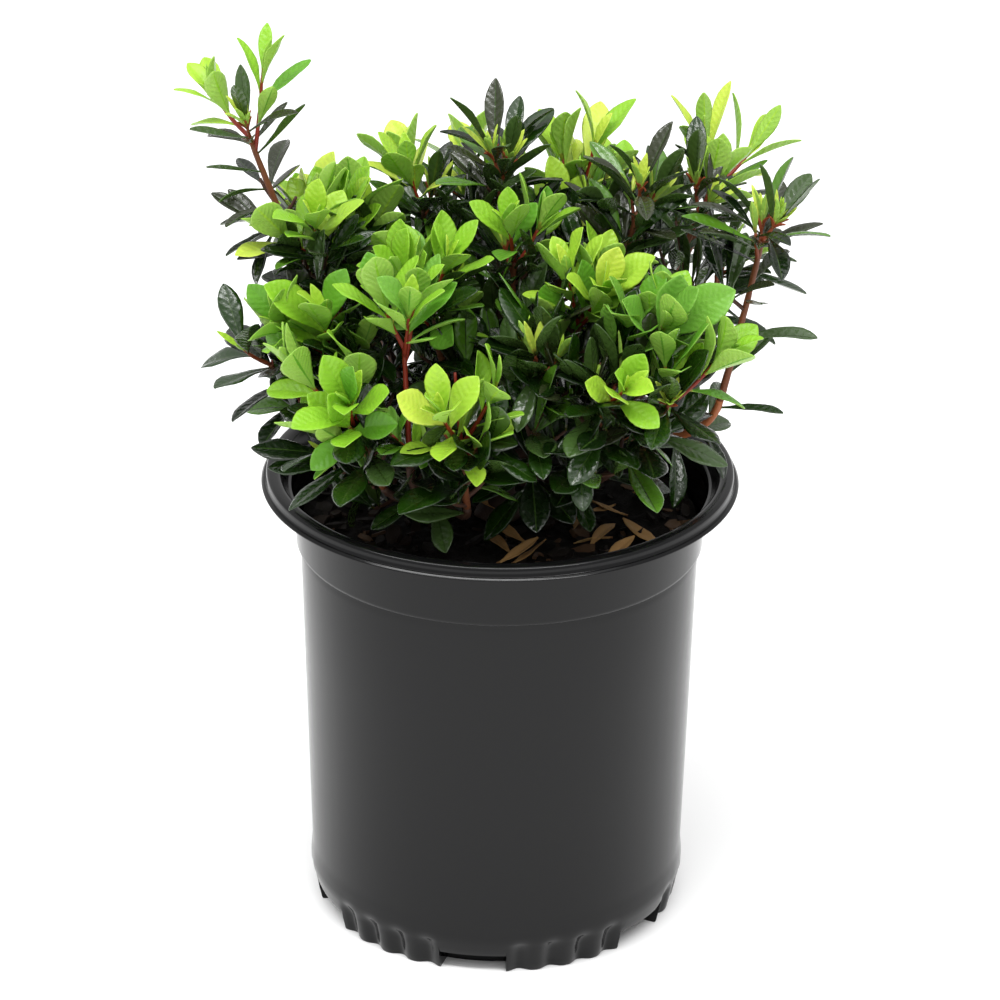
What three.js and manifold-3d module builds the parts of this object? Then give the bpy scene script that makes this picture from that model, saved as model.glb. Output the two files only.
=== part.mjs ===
// Azalea shrub in a black nursery pot: a compact evergreen azalea, about 320 mm tall with its pot.
// A short trunk stands on the growing medium and carries boughs. Each bough ends where a mass of
// foliage begins. A mass is one stem that forks into shoots, with leaves set round them in a spiral.
// Millimetres, +Z up. The origin is the middle of the pot's underside, and -Y is the front.
import * as THREE from 'three';
import { mergeVertices } from 'three/addons/utils/BufferGeometryUtils.js';
import Module from 'manifold-3d';

const wasm = await Module();
wasm.setup();

// Pot: a 165 mm pot with a turned-out rim and its thin flange, a collar and a fluted foot.
const POT_HEIGHT = 165;
const RIM_RADIUS = 82.5;
const RIM_MOUTH_RADIUS = 75.6;
const RIM_DEPTH = 4.8;
const RIM_CREST_RADIUS = 80.8;
const FLANGE_THICKNESS = 1.2;
const COLLAR_RADIUS = 70.6;
const COLLAR_FOOT_Z = 139;
const WALL_TOP_RADIUS = 69;
const WALL_FOOT_RADIUS = 65.8;
const FOOT_BULGE_RADIUS = 66.3;
const FOOT_RADIUS = 63.6;
const FOOT_HEIGHT = 14;
const FOOT_BLEND_Z = 22;
const WALL_THICKNESS = 1.6;
const FLOOR_THICKNESS = 2;
const POT_SEGMENTS = 36;

// Foot: six groups of four flutes, with a drainage pocket between one group and the next.
const FOOT_GROUPS = 6;
const FLUTES_PER_GROUP = 4;
const NOTCH_BEARING = -97;
const NOTCH_WIDTH = 21;
const NOTCH_HEIGHT = 6.5;
const NOTCH_REACH = 7;
const FLUTE_PITCH = 10.2;
const FLUTE_WIDTH = 4.4;
const FLUTE_DEPTH = 1.1;
const FLUTE_HEIGHT = 13;

// Growing medium, with bark chips and dead leaves half sunk in its top.
const MEDIUM_TOP_Z = 147;
const MEDIUM_RELIEF = 1.6;
const MEDIUM_SWELL_LENGTH = 30;
const MEDIUM_FLAT_RADIUS = 14;
const MEDIUM_SEGMENTS = 24;
const LITTER_COUNT = 14;
const LITTER_LENGTH = 13;
const LITTER_THINNESS = 0.28;
const LITTER_LIFT = 0.9;

// Trunk: from its flat cut on the medium, through a root flare, to its fork.
const TRUNK_HEIGHT = 27;
const TRUNK_LEAN = [-1.5, 2];
const TRUNK_FLARE_RADIUS = 9;
const TRUNK_WAIST_RADIUS = 5.6;
const TRUNK_TOP_RADIUS = 4.4;
const TRUNK_FLARE_SHARE = 0.35;
const TRUNK_SIDES = 10;

// The gap that is kept between one solid and the next.
const CLEARANCE = 0.3;

// Boughs and stems.
const BOUGH_ROOT_RADIUS = 2.3;
const SIDE_BOUGH_ROOT_RADIUS = 1.7;
const BOUGH_TIP_RADIUS = 1.35;
const BOUGH_BEND = 0.42;
const BOUGH_SIDES = 5;
const STEM_SIDES = 4;
const STEM_SAG = 0.06;
const STEM_TIP_RADIUS = 0.95;
const SHOOT_ROOT_RADIUS = 0.85;
const SHOOT_TIP_RADIUS = 0.5;
const CROWN_HEART_Z = 178;
const SHOOT_RISE = 0.35;
const SHOOT_SIDES = 3;
const SHOOT_STEP_DOWN = 0.05;
const SPIRAL_TURN = 137.5;

// The masses of foliage: where the stem of each one forks, and what grows there. carrier is the
// limb that its bough springs from, at the share `at` of that limb's length. Shoots are dealt round
// the fork from the bearing `turn`, leaning out by `spread` degrees: y is a young shoot, t a taller
// one with slimmer leaves, b a ripe one with buds at its tip, and o an old one. rise turns the stem
// up, reach lengthens its shoots, size its leaves, and old counts the leaves along the stem.
const USUAL_MASS = { rise: 0.45, reach: 1, size: 1 };
const MASSES = [
  { name: 'front_red_stem', carrier: 'trunk', at: 0.62, fork: [-32, -50, 230], stem: 44, rise: 0.9,
    shoots: 'yyy', turn: 170, spread: 26, old: 0 },
  { name: 'left_lime', carrier: 'trunk', at: 0.5, fork: [-58, -25, 217], stem: 36,
    shoots: 'yyy', turn: 190, spread: 34, reach: 1.1, size: 1.1, old: 5 },
  { name: 'upper_left', carrier: 'trunk', at: 0.85, fork: [-52, 12, 236], stem: 42,
    shoots: 'yyy', turn: 280, spread: 26, size: 1.15, old: 5 },
  { name: 'middle_young', carrier: 'trunk', at: 0.98, fork: [4, 2, 240], stem: 42,
    shoots: 'yyb', turn: 250, spread: 34, size: 0.9, old: 5 },
  { name: 'right_dark', carrier: 'trunk', at: 0.72, fork: [76, 28, 226], stem: 40,
    shoots: 'oob', turn: 330, spread: 38, old: 6 },
  { name: 'front_right', carrier: 'trunk', at: 0.55, fork: [56, -50, 211], stem: 38,
    shoots: 'yyb', turn: 20, spread: 34, reach: 1.1, old: 6 },
  { name: 'back_centre', carrier: 'trunk', at: 0.8, fork: [-10, 62, 234], stem: 40,
    shoots: 'yby', turn: 90, spread: 34, size: 1.05, old: 6 },
  { name: 'top_right_dark', carrier: 'trunk', at: 0.9, fork: [46, 14, 254], stem: 43,
    shoots: 'bbo', turn: 255, spread: 32, size: 1.1, old: 6 },
  { name: 'front_left_low', carrier: 'front_red_stem', at: 0.55, fork: [-49, -52, 204], stem: 32, rise: 0.6,
    shoots: 'yyy', turn: 170, spread: 34, reach: 1.3, size: 1.05, old: 4 },
  { name: 'front_lime', carrier: 'front_red_stem', at: 0.42, fork: [-13, -60, 201], stem: 30, rise: 0.7,
    shoots: 'yyt', turn: 250, spread: 36, reach: 1.3, old: 5 },
  { name: 'middle_left', carrier: 'front_red_stem', at: 0.8, fork: [-25, -18, 232], stem: 34,
    shoots: 'yyy', turn: 230, spread: 36, old: 5 },
  { name: 'left_dark', carrier: 'left_lime', at: 0.7, fork: [-78, -18, 210], stem: 28,
    shoots: 'oy', turn: 200, spread: 34, size: 1.05, old: 5 },
  { name: 'left_low', carrier: 'left_lime', at: 0.45, fork: [-50, -38, 184], stem: 28,
    shoots: 'oo', turn: 215, spread: 38, size: 1.05, old: 5 },
  { name: 'far_left', carrier: 'upper_left', at: 0.55, fork: [-85, 0, 285], stem: 52,
    shoots: 'ybt', turn: 150, spread: 30, size: 0.9, old: 7 },
  { name: 'left_young', carrier: 'upper_left', at: 0.35, fork: [-63, -8, 245], stem: 30,
    shoots: 'yyy', turn: 195, spread: 36, old: 2 },
  { name: 'top_left', carrier: 'upper_left', at: 0.75, fork: [-28, 37, 245], stem: 38,
    shoots: 'yyb', turn: 134, spread: 26, size: 0.95, old: 5 },
  { name: 'top_dark', carrier: 'middle_young', at: 0.6, fork: [-1, 31, 260], stem: 44, rise: 0.7,
    shoots: 'bbo', turn: 200, spread: 26, size: 1.05, old: 6 },
  { name: 'centre_right', carrier: 'middle_young', at: 0.75, fork: [27, -16, 228], stem: 36,
    shoots: 'yyy', turn: 306, spread: 30, old: 5 },
  { name: 'far_right', carrier: 'right_dark', at: 0.45, fork: [87, -9, 253], stem: 60, rise: 0.75,
    shoots: 'bbo', turn: 340, spread: 28, old: 7 },
  { name: 'upper_right', carrier: 'right_dark', at: 0.7, fork: [67, 22, 250], stem: 34,
    shoots: 'bby', turn: 190, spread: 30, size: 0.95, old: 5 },
  { name: 'right_front', carrier: 'front_right', at: 0.7, fork: [46, -34, 221], stem: 36,
    shoots: 'yyy', turn: 290, spread: 26, reach: 0.9, size: 1.18, old: 5 },
  { name: 'centre_dark', carrier: 'front_right', at: 0.3, fork: [13, -44, 219], stem: 34, rise: 0.7,
    shoots: 'oob', turn: 240, spread: 40, size: 1.1, old: 6 },
  { name: 'front_centre', carrier: 'front_right', at: 0.5, fork: [34, -52, 212], stem: 34, rise: 0.6,
    shoots: 'yob', turn: 280, spread: 42, size: 0.95, old: 6 },
  { name: 'upper_right_lime', carrier: 'top_right_dark', at: 0.6, fork: [74, 50, 250], stem: 44,
    shoots: 'tt', turn: 10, spread: 36, reach: 0.6, old: 6 },
  { name: 'top_lime', carrier: 'top_right_dark', at: 0.45, fork: [25, 46, 243], stem: 40,
    shoots: 'yty', turn: 180, spread: 28, old: 5 },
  { name: 'back_right', carrier: 'top_right_dark', at: 0.3, fork: [48, 66, 222], stem: 39,
    shoots: 'byo', turn: 62, spread: 36, size: 1.1, old: 6 },
  { name: 'back_left', carrier: 'back_centre', at: 0.6, fork: [-58, 52, 222], stem: 38,
    shoots: 'yyb', turn: 130, spread: 36, size: 1.1, old: 6 },
  { name: 'back_low', carrier: 'back_centre', at: 0.3, fork: [6, 74, 196], stem: 32,
    shoots: 'oyo', turn: 90, spread: 40, size: 1.05, old: 6 },
].map((mass) => ({ ...USUAL_MASS, ...mass }));

// What the leaves of each kind of shoot are: how many, how long and wide, and how far they lean
// out from the shoot, from the lowest leaf to the highest. lift turns old leaves up to the light.
const SHOOTS = {
  y: { length: 17, leaves: 6, leafLength: 25, widthShare: 0.48, lean: [46, 11], lift: 0, tipShare: 0.7 },
  t: { length: 23, leaves: 5, leafLength: 27, widthShare: 0.38, lean: [42, 12], lift: 0, tipShare: 0.8 },
  b: { length: 9, leaves: 4, leafLength: 26, widthShare: 0.42, lean: [82, 24], lift: 0.3, tipShare: 0.9 },
  o: { length: 11, leaves: 4, leafLength: 27, widthShare: 0.44, lean: [98, 42], lift: 0.3, tipShare: 0.85 },
};
const OLD_LEAF = { length: 27, widthShare: 0.42, lean: 84, lift: 0.3 };
const LEAF_THICKNESS = 0.9;
const LEAF_KEEL = 0.14;
const LEAF_WIDEST = 0.6;
const LEAF_SIDES = 3;
const LEAF_NECK = 0.22;
const LOWEST_LEAF = 0.35;
const LEAF_CROWDING = 0.7;
const FULLEST_LEAF = 0.4;
const LEAF_TRIES = [1, 0.8];
const TURN_TRIES = [0, 35, -35, 70, -70];
const HEART_REACH = 10;

const UP = new THREE.Vector3(0, 0, 1);
const ACROSS = new THREE.Vector3(1, 0, 0);

// A stream of draws from 0 to 1 that is the same on every run.
class Draws {
  constructor(seed) {
    this.state = (seed * 7919) % 2147483647 || 1;
    this.next();
    this.next();
  }

  next() {
    this.state = (this.state * 48271) % 2147483647;
    return this.state / 2147483647;
  }

  // A draw within `spread` of the middle.
  about(middle, spread) {
    return middle + (this.next() * 2 - 1) * spread;
  }
}

const degrees = (angle) => (angle * Math.PI) / 180;
const blend = (a, b, share) => a + (b - a) * share;

// The direction that leans out from `axis` by `lean` degrees, towards the bearing `turn` round it.
function leaning(axis, turn, lean) {
  const side = ACROSS.clone().addScaledVector(axis, -ACROSS.dot(axis)).normalize();
  const ahead = new THREE.Vector3().crossVectors(axis, side);
  const out = side.multiplyScalar(Math.cos(degrees(turn))).addScaledVector(ahead, Math.sin(degrees(turn)));
  return axis.clone().multiplyScalar(Math.cos(degrees(lean))).addScaledVector(out, Math.sin(degrees(lean)));
}

const towards = (a, b, share) => a.clone().lerp(b, share).normalize();

// Solids.

function solidOf(geometry) {
  const bare = geometry.clone();
  bare.deleteAttribute('normal');
  bare.deleteAttribute('uv');
  const merged = mergeVertices(bare, 1e-4);
  return new wasm.Manifold(new wasm.Mesh({
    numProp: 3,
    vertProperties: merged.attributes.position.array,
    triVerts: new Uint32Array(merged.index.array),
  }));
}

function geometryOf(solid) {
  const { vertProperties, triVerts } = solid.getMesh();
  const geometry = new THREE.BufferGeometry();
  geometry.setAttribute('position', new THREE.BufferAttribute(vertProperties.slice(), 3));
  geometry.setIndex(new THREE.BufferAttribute(triVerts.slice(), 1));
  geometry.computeVertexNormals();
  return geometry;
}

// The largest body of a solid, with the hollows that fusing sealed in it filled.
function largestBody(solid) {
  return solid.decompose().reduce((most, body) => (body.volume() > most.volume() ? body : most));
}

// A limb: a cylinder bent along a curve, with the radius that radiusAt gives for each share of it.
function limbGeometry(curve, radiusAt, sides, steps) {
  const geometry = new THREE.CylinderGeometry(1, 1, 1, sides, steps);
  const { normals, binormals } = curve.computeFrenetFrames(steps, false);
  const position = geometry.attributes.position;
  const point = new THREE.Vector3();
  for (let i = 0; i < position.count; i += 1) {
    const step = Math.round((position.getY(i) + 0.5) * steps);
    const radius = radiusAt(step / steps);
    curve.getPoint(step / steps, point);
    point.addScaledVector(normals[step], -position.getX(i) * radius);
    point.addScaledVector(binormals[step], position.getZ(i) * radius);
    position.setXYZ(i, point.x, point.y, point.z);
  }
  return geometry;
}

// A limb and the room round it that its neighbours are kept out of.
function limb(curve, radiusAt, sides, steps) {
  const room = (share) => radiusAt(share) + CLEARANCE;
  return {
    curve,
    solid: solidOf(limbGeometry(curve, radiusAt, sides, steps)),
    room: solidOf(limbGeometry(curve, room, sides, steps)),
  };
}

// The way a leaf points from its root.
function leafHeading({ axis, turn, lean, lift }) {
  return leaning(axis, turn, lean).addScaledVector(UP, lift).normalize();
}

// A leaf: a boat of six faces, flat above and keeled below, widest past its middle.
function leafSolid(leaf) {
  const { root, axis, length, width } = leaf;
  const along = leafHeading(leaf);
  const outline = [[0, 0], [1, LEAF_WIDEST], [0, 1]].map(([out, reach]) => new THREE.Vector2(out, reach));
  const geometry = new THREE.LatheGeometry(outline, LEAF_SIDES);
  const across = new THREE.Vector3().crossVectors(axis, along).normalize();
  const upper = new THREE.Vector3().crossVectors(along, across);
  const deep = Math.max(LEAF_THICKNESS, width * LEAF_KEEL);
  const shape = new THREE.Matrix4().makeBasis(
    across.multiplyScalar(width / Math.sqrt(3)),
    along.clone().multiplyScalar(length),
    upper.multiplyScalar(-deep / 1.5),
  );
  return solidOf(geometry.applyMatrix4(shape.setPosition(root)));
}

// Growth.

// The way a stem leans: away from the heart of the crown, turned up by `rise`.
function leanOf(fork, rise) {
  const outward = fork.clone().sub(new THREE.Vector3(0, 0, CROWN_HEART_Z)).normalize();
  return towards(outward, UP, rise);
}

// The stem of a mass, from its foot to its fork, a little bowed.
function stemCurve({ fork, stem, rise }) {
  const top = new THREE.Vector3(...fork);
  const lean = leanOf(top, rise);
  const foot = top.clone().addScaledVector(lean, -stem);
  const middle = foot.clone().addScaledVector(lean, stem * 0.5).addScaledVector(UP, -stem * STEM_SAG);
  return new THREE.QuadraticBezierCurve3(foot, middle, top);
}

// The leaves of one shoot, set round it in a spiral that closes up towards its tip.
function shootLeaves(curve, kind, size, draws) {
  const { leaves, leafLength, widthShare, lean, lift, tipShare } = SHOOTS[kind];
  const phase = draws.next() * 360;
  return Array.from({ length: leaves }, (_, i) => {
    const share = i / (leaves - 1);
    const at = blend(LOWEST_LEAF, 1, share ** LEAF_CROWDING);
    const fromFullest = Math.abs(share - FULLEST_LEAF) / (1 - FULLEST_LEAF);
    const fullness = 1 - (1 - tipShare) * fromFullest;
    const length = leafLength * size * fullness * draws.about(1, 0.12);
    return {
      root: curve.getPoint(at),
      axis: curve.getTangent(at),
      turn: phase + i * SPIRAL_TURN + draws.about(0, 10),
      lean: blend(lean[0], lean[1], share) + draws.about(0, 7),
      lift,
      length,
      width: length * widthShare,
    };
  });
}

// The old leaves along a stem.
function stemLeaves(curve, count, size, draws) {
  const phase = draws.next() * 360;
  return Array.from({ length: count }, (_, i) => {
    const at = blend(0.12, 0.94, (i + 0.5) / count);
    const length = OLD_LEAF.length * size * draws.about(1, 0.14);
    return {
      root: curve.getPoint(at),
      axis: curve.getTangent(at),
      turn: phase + i * SPIRAL_TURN,
      lean: draws.about(OLD_LEAF.lean, 14),
      lift: OLD_LEAF.lift,
      length,
      width: length * OLD_LEAF.widthShare,
    };
  });
}

// The line of one shoot, which leaves the fork at a bearing and then turns up to the light.
function shootCurve(root, axis, turn, lean, length) {
  const outward = leaning(axis, turn, lean);
  const middle = root.clone().addScaledVector(outward, length * 0.5);
  const tip = middle.clone().addScaledVector(towards(outward, UP, SHOOT_RISE), length * 0.5);
  return new THREE.QuadraticBezierCurve3(root, middle, tip);
}

// Limbs: the trunk, then the boughs that it and they carry.

const trunkFoot = new THREE.Vector3(0, 0, MEDIUM_TOP_Z + CLEARANCE);
const trunkTop = new THREE.Vector3(...TRUNK_LEAN, trunkFoot.z + TRUNK_HEIGHT);

function trunkRadius(share) {
  const flare = Math.max(0, 1 - share / TRUNK_FLARE_SHARE) ** 2;
  const shaft = blend(TRUNK_WAIST_RADIUS, TRUNK_TOP_RADIUS, share);
  return shaft + (TRUNK_FLARE_RADIUS - TRUNK_WAIST_RADIUS) * flare;
}

function makeTrunk() {
  const middle = new THREE.Vector3(trunkFoot.x, trunkFoot.y, (trunkFoot.z + trunkTop.z) / 2);
  return limb(new THREE.QuadraticBezierCurve3(trunkFoot, middle, trunkTop), trunkRadius, TRUNK_SIDES, 8);
}

// A bough from its carrier's heartwood to the foot of its mass's stem, cut clear of the limbs
// that were there before it.
function makeBough(mass, carrier, earlier, rootRadius) {
  const stem = stemCurve(mass);
  const root = carrier.curve.getPoint(mass.at);
  const foot = stem.getPoint(0);
  const arriving = stem.getTangent(0);
  const reach = root.distanceTo(foot);
  const tip = foot.clone().addScaledVector(arriving, -CLEARANCE);
  const middle = tip.clone().addScaledVector(arriving, -reach * BOUGH_BEND);
  const curve = new THREE.QuadraticBezierCurve3(root, middle, tip);
  const made = limb(curve, (share) => blend(rootRadius, BOUGH_TIP_RADIUS, share), BOUGH_SIDES, 5);
  const cut = earlier.reduce((solid, { room }) => solid.subtract(room), made.solid);
  return { ...made, solid: largestBody(cut) };
}

function makeLimbs() {
  const limbs = new Map([['trunk', makeTrunk()]]);
  for (const mass of MASSES) {
    const rootRadius = mass.carrier === 'trunk' ? BOUGH_ROOT_RADIUS : SIDE_BOUGH_ROOT_RADIUS;
    const carrier = limbs.get(mass.carrier);
    limbs.set(mass.name, makeBough(mass, carrier, [...limbs.values()], rootRadius));
  }
  return limbs;
}

// Masses. Each one keeps to its own space: the points nearer to its hearts than to another's.

function heartsOf(mass) {
  const stem = stemCurve(mass);
  const beyond = stem.getPoint(1).addScaledVector(stem.getTangent(1), HEART_REACH * mass.size);
  return [...[0.25, 0.5, 0.75, 1].map((share) => stem.getPoint(share)), beyond];
}

const nearest = (point, hearts) => Math.min(...hearts.map((heart) => point.distanceTo(heart)));

function insideSpace(solid, index, hearts) {
  const { vertProperties } = solid.getMesh();
  const point = new THREE.Vector3();
  for (let i = 0; i < vertProperties.length; i += 3) {
    point.fromArray(vertProperties, i);
    const own = nearest(point, hearts[index]) + CLEARANCE;
    if (hearts.some((others, j) => j !== index && nearest(point, others) < own)) return false;
  }
  return true;
}

const touches = (solid, rooms) => rooms.some((room) => solid.intersect(room).numTri() > 0);

// The outer part of a leaf, which other leaves of its mass are kept out of.
function bladeSolid(leaf) {
  const along = leafHeading(leaf);
  const root = leaf.root.clone().addScaledVector(along, leaf.length * LEAF_NECK);
  return leafSolid({ ...leaf, root, length: leaf.length * (1 - LEAF_NECK) });
}

// One mass: its stem, and each shoot and leaf that finds room in its space, clear of the rest.
function makeMass(mass, index, hearts, rooms, stem) {
  const fits = (solid) => insideSpace(solid, index, hearts) && !touches(solid, rooms);
  const grown = [stem.solid];
  const growLeaf = (leaf) => {
    for (const share of LEAF_TRIES) {
      for (const more of TURN_TRIES) {
        const tried = { ...leaf, length: leaf.length * share, turn: leaf.turn + more };
        const solid = leafSolid(tried);
        if (fits(solid) && !touches(bladeSolid(tried), grown)) {
          grown.push(solid);
          return;
        }
      }
    }
  };
  const radiusAt = (share) => blend(SHOOT_ROOT_RADIUS, SHOOT_TIP_RADIUS, share);
  const growShoot = (kind, place) => {
    const draws = new Draws(1009 + index * 37 + place);
    const root = stem.curve.getPoint(1 - SHOOT_STEP_DOWN * place);
    const turn = mass.turn + (place * 360) / mass.shoots.length + draws.about(0, 12);
    const spread = draws.about(mass.spread, 5);
    const length = SHOOTS[kind].length * mass.reach * draws.about(1, 0.2);
    for (const more of TURN_TRIES) {
      const curve = shootCurve(root, stem.curve.getTangent(1), turn + more, spread, length);
      const solid = solidOf(limbGeometry(curve, radiusAt, SHOOT_SIDES, 2));
      if (fits(solid)) {
        grown.push(solid);
        return shootLeaves(curve, kind, mass.size, draws);
      }
    }
    return [];
  };
  const leaves = [...mass.shoots].flatMap(growShoot);
  leaves.forEach(growLeaf);
  stemLeaves(stem.curve, mass.old, mass.size, new Draws(101 + index)).forEach(growLeaf);
  return largestBody(wasm.Manifold.union(grown));
}

// Pot and growing medium.

// A solid turned about the pot's axis from its outline, given as radius and height.
function turned(outline, segments) {
  const profile = outline.map(([r, z]) => new THREE.Vector2(r, z));
  return solidOf(new THREE.LatheGeometry(profile, segments).rotateX(Math.PI / 2));
}

const innerRadiusAt = (z) => blend(WALL_FOOT_RADIUS, WALL_TOP_RADIUS, z / COLLAR_FOOT_Z) - WALL_THICKNESS;
const collarInnerRadius = COLLAR_RADIUS - WALL_THICKNESS;
const shoulderZ = COLLAR_FOOT_Z - 3;
const footInnerRadius = FOOT_RADIUS - FLUTE_DEPTH - WALL_THICKNESS;
const footInnerZ = FLUTE_HEIGHT + WALL_THICKNESS;

// A block that stands on the ground at a bearing, from `inner` out to the rim's radius.
function footBlock(bearing, inner, width, height) {
  const depth = RIM_RADIUS - inner;
  const block = new THREE.BoxGeometry(depth, width, height * 2);
  block.translate(inner + depth / 2, 0, 0);
  return solidOf(block.rotateZ(degrees(bearing)));
}

// The drainage pockets at the foot, larger all round than the notches by `more`.
function drainagePockets(more) {
  const width = 2 * FOOT_RADIUS * Math.sin(degrees(NOTCH_WIDTH / 2));
  return Array.from({ length: FOOT_GROUPS }, (_, group) => {
    const bearing = NOTCH_BEARING + (group * 360) / FOOT_GROUPS;
    return footBlock(bearing, FOOT_RADIUS - NOTCH_REACH - more, width + 2 * more, NOTCH_HEIGHT + more);
  });
}

function footFlutes() {
  const places = Array.from({ length: FLUTES_PER_GROUP }, (_, i) => i - (FLUTES_PER_GROUP - 1) / 2);
  return Array.from({ length: FOOT_GROUPS }, (_, group) => {
    const middle = NOTCH_BEARING + ((group + 0.5) * 360) / FOOT_GROUPS;
    const inner = FOOT_RADIUS - FLUTE_DEPTH;
    return places.map((place) => footBlock(middle + place * FLUTE_PITCH, inner, FLUTE_WIDTH, FLUTE_HEIGHT));
  }).flat();
}

function makePot() {
  const body = turned([
    [0, 0],
    [FOOT_RADIUS, 0],
    [FOOT_BULGE_RADIUS, FOOT_HEIGHT],
    [WALL_FOOT_RADIUS, FOOT_BLEND_Z],
    [WALL_TOP_RADIUS, shoulderZ],
    [COLLAR_RADIUS, COLLAR_FOOT_Z],
    [COLLAR_RADIUS + 1, POT_HEIGHT - RIM_DEPTH - 2.5],
    [RIM_RADIUS, POT_HEIGHT - RIM_DEPTH],
    [RIM_RADIUS, POT_HEIGHT - RIM_DEPTH + FLANGE_THICKNESS],
    [RIM_CREST_RADIUS, POT_HEIGHT - RIM_DEPTH + FLANGE_THICKNESS + 0.2],
    [RIM_CREST_RADIUS - 0.2, POT_HEIGHT - 0.9],
    [RIM_CREST_RADIUS - 1.4, POT_HEIGHT],
    [0, POT_HEIGHT],
  ], POT_SEGMENTS);
  const hollow = turned([
    [0, FLOOR_THICKNESS],
    [footInnerRadius, FLOOR_THICKNESS],
    [footInnerRadius, footInnerZ],
    [innerRadiusAt(FOOT_BLEND_Z), FOOT_BLEND_Z],
    [innerRadiusAt(COLLAR_FOOT_Z), shoulderZ],
    [collarInnerRadius, COLLAR_FOOT_Z + 1],
    [collarInnerRadius + 1, POT_HEIGHT - RIM_DEPTH - 3],
    [RIM_MOUTH_RADIUS, POT_HEIGHT],
    [0, POT_HEIGHT],
  ], POT_SEGMENTS);
  const pocketWalls = drainagePockets(WALL_THICKNESS).map((pocket) => pocket.intersect(body));
  const walls = wasm.Manifold.union([body.subtract(hollow), ...pocketWalls]);
  return walls.subtract(wasm.Manifold.union([...drainagePockets(0), ...footFlutes()]));
}

// The room that the pot and its filling take, which foliage is kept out of.
function potRoom() {
  const outside = RIM_RADIUS + CLEARANCE;
  const inside = collarInnerRadius - CLEARANCE;
  const top = POT_HEIGHT + CLEARANCE;
  const filling = MEDIUM_TOP_Z + 3;
  const outline = [[0, 0], [outside, 0], [outside, top], [inside, top], [inside, filling], [0, filling]];
  return turned(outline, POT_SEGMENTS);
}

// A bark chip or dead leaf: a flat wedge that lies at a slant, half in the medium.
function litterSolid(draws) {
  const length = LITTER_LENGTH * draws.about(1, 0.35);
  const chip = new THREE.CylinderGeometry(length * 0.12, length * 0.26, length, 4, 1);
  chip.scale(1, 1, LITTER_THINNESS);
  chip.rotateZ(Math.PI / 2);
  chip.rotateX(degrees(draws.about(0, 18)));
  chip.rotateY(degrees(draws.about(0, 14)));
  chip.rotateZ(draws.next() * Math.PI * 2);
  const inner = MEDIUM_FLAT_RADIUS + LITTER_LENGTH;
  const reach = blend(inner, collarInnerRadius - LITTER_LENGTH, Math.sqrt(draws.next()));
  const bearing = draws.next() * Math.PI * 2;
  chip.translate(Math.cos(bearing) * reach, Math.sin(bearing) * reach, MEDIUM_TOP_Z + LITTER_LIFT);
  return solidOf(chip);
}

// The medium fills the pot. Its top is uneven, and flat round the trunk.
function mediumBody() {
  const low = FLOOR_THICKNESS + CLEARANCE;
  const edge = collarInnerRadius - CLEARANCE;
  const topRings = [1, 0.72, 0.38, 0].map((share) => blend(MEDIUM_FLAT_RADIUS, edge, share));
  const outline = [
    [0, low],
    [footInnerRadius - 2 * CLEARANCE, low],
    [footInnerRadius - 2 * CLEARANCE, footInnerZ],
    [innerRadiusAt(FOOT_BLEND_Z) - 2 * CLEARANCE, FOOT_BLEND_Z],
    [innerRadiusAt(COLLAR_FOOT_Z) - 2 * CLEARANCE, shoulderZ + CLEARANCE],
    [edge - CLEARANCE, COLLAR_FOOT_Z + 1 + CLEARANCE],
    ...topRings.map((ring) => [ring, MEDIUM_TOP_Z]),
    [0, MEDIUM_TOP_Z],
  ].map(([r, z]) => new THREE.Vector2(r, z));
  const geometry = new THREE.LatheGeometry(outline, MEDIUM_SEGMENTS).rotateX(Math.PI / 2);
  const position = geometry.attributes.position;
  for (let i = 0; i < position.count; i += 1) {
    const [x, y, z] = [position.getX(i), position.getY(i), position.getZ(i)];
    if (z > MEDIUM_TOP_Z - 0.01 && Math.hypot(x, y) > MEDIUM_FLAT_RADIUS + 1) {
      const turns = (2 * Math.PI) / MEDIUM_SWELL_LENGTH;
      const swell = Math.sin(x * turns + 1) * Math.cos(y * turns) - 0.3;
      position.setZ(i, z + MEDIUM_RELIEF * swell);
    }
  }
  return solidOf(geometry);
}

function makeMedium() {
  const draws = new Draws(7);
  const litter = Array.from({ length: LITTER_COUNT }, () => litterSolid(draws));
  const pockets = wasm.Manifold.union(drainagePockets(WALL_THICKNESS + CLEARANCE));
  return largestBody(wasm.Manifold.union([mediumBody(), ...litter]).subtract(pockets));
}

// The part.

const MATERIALS = {
  pot: new THREE.MeshStandardMaterial({ color: 0x2b2b2d, roughness: 0.45, metalness: 0 }),
  medium: new THREE.MeshStandardMaterial({ color: 0x1c130d, roughness: 0.95, metalness: 0 }),
  bark: new THREE.MeshStandardMaterial({ color: 0x6e3a22, roughness: 0.8, metalness: 0 }),
  young_foliage: new THREE.MeshStandardMaterial({ color: 0x86c52a, roughness: 0.45, metalness: 0 }),
  old_foliage: new THREE.MeshStandardMaterial({ color: 0x2c4a26, roughness: 0.4, metalness: 0 }),
};

const azalea = new THREE.Group();
azalea.name = 'azalea_shrub';

function place(name, solid, material) {
  const mesh = new THREE.Mesh(geometryOf(solid), MATERIALS[material]);
  mesh.name = name;
  azalea.add(mesh);
}

place('pot', makePot(), 'pot');
place('growing_medium', makeMedium(), 'medium');

const limbs = makeLimbs();
for (const [name, { solid }] of limbs) {
  place(name === 'trunk' ? 'trunk' : `bough_${name}`, solid, 'bark');
}

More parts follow.
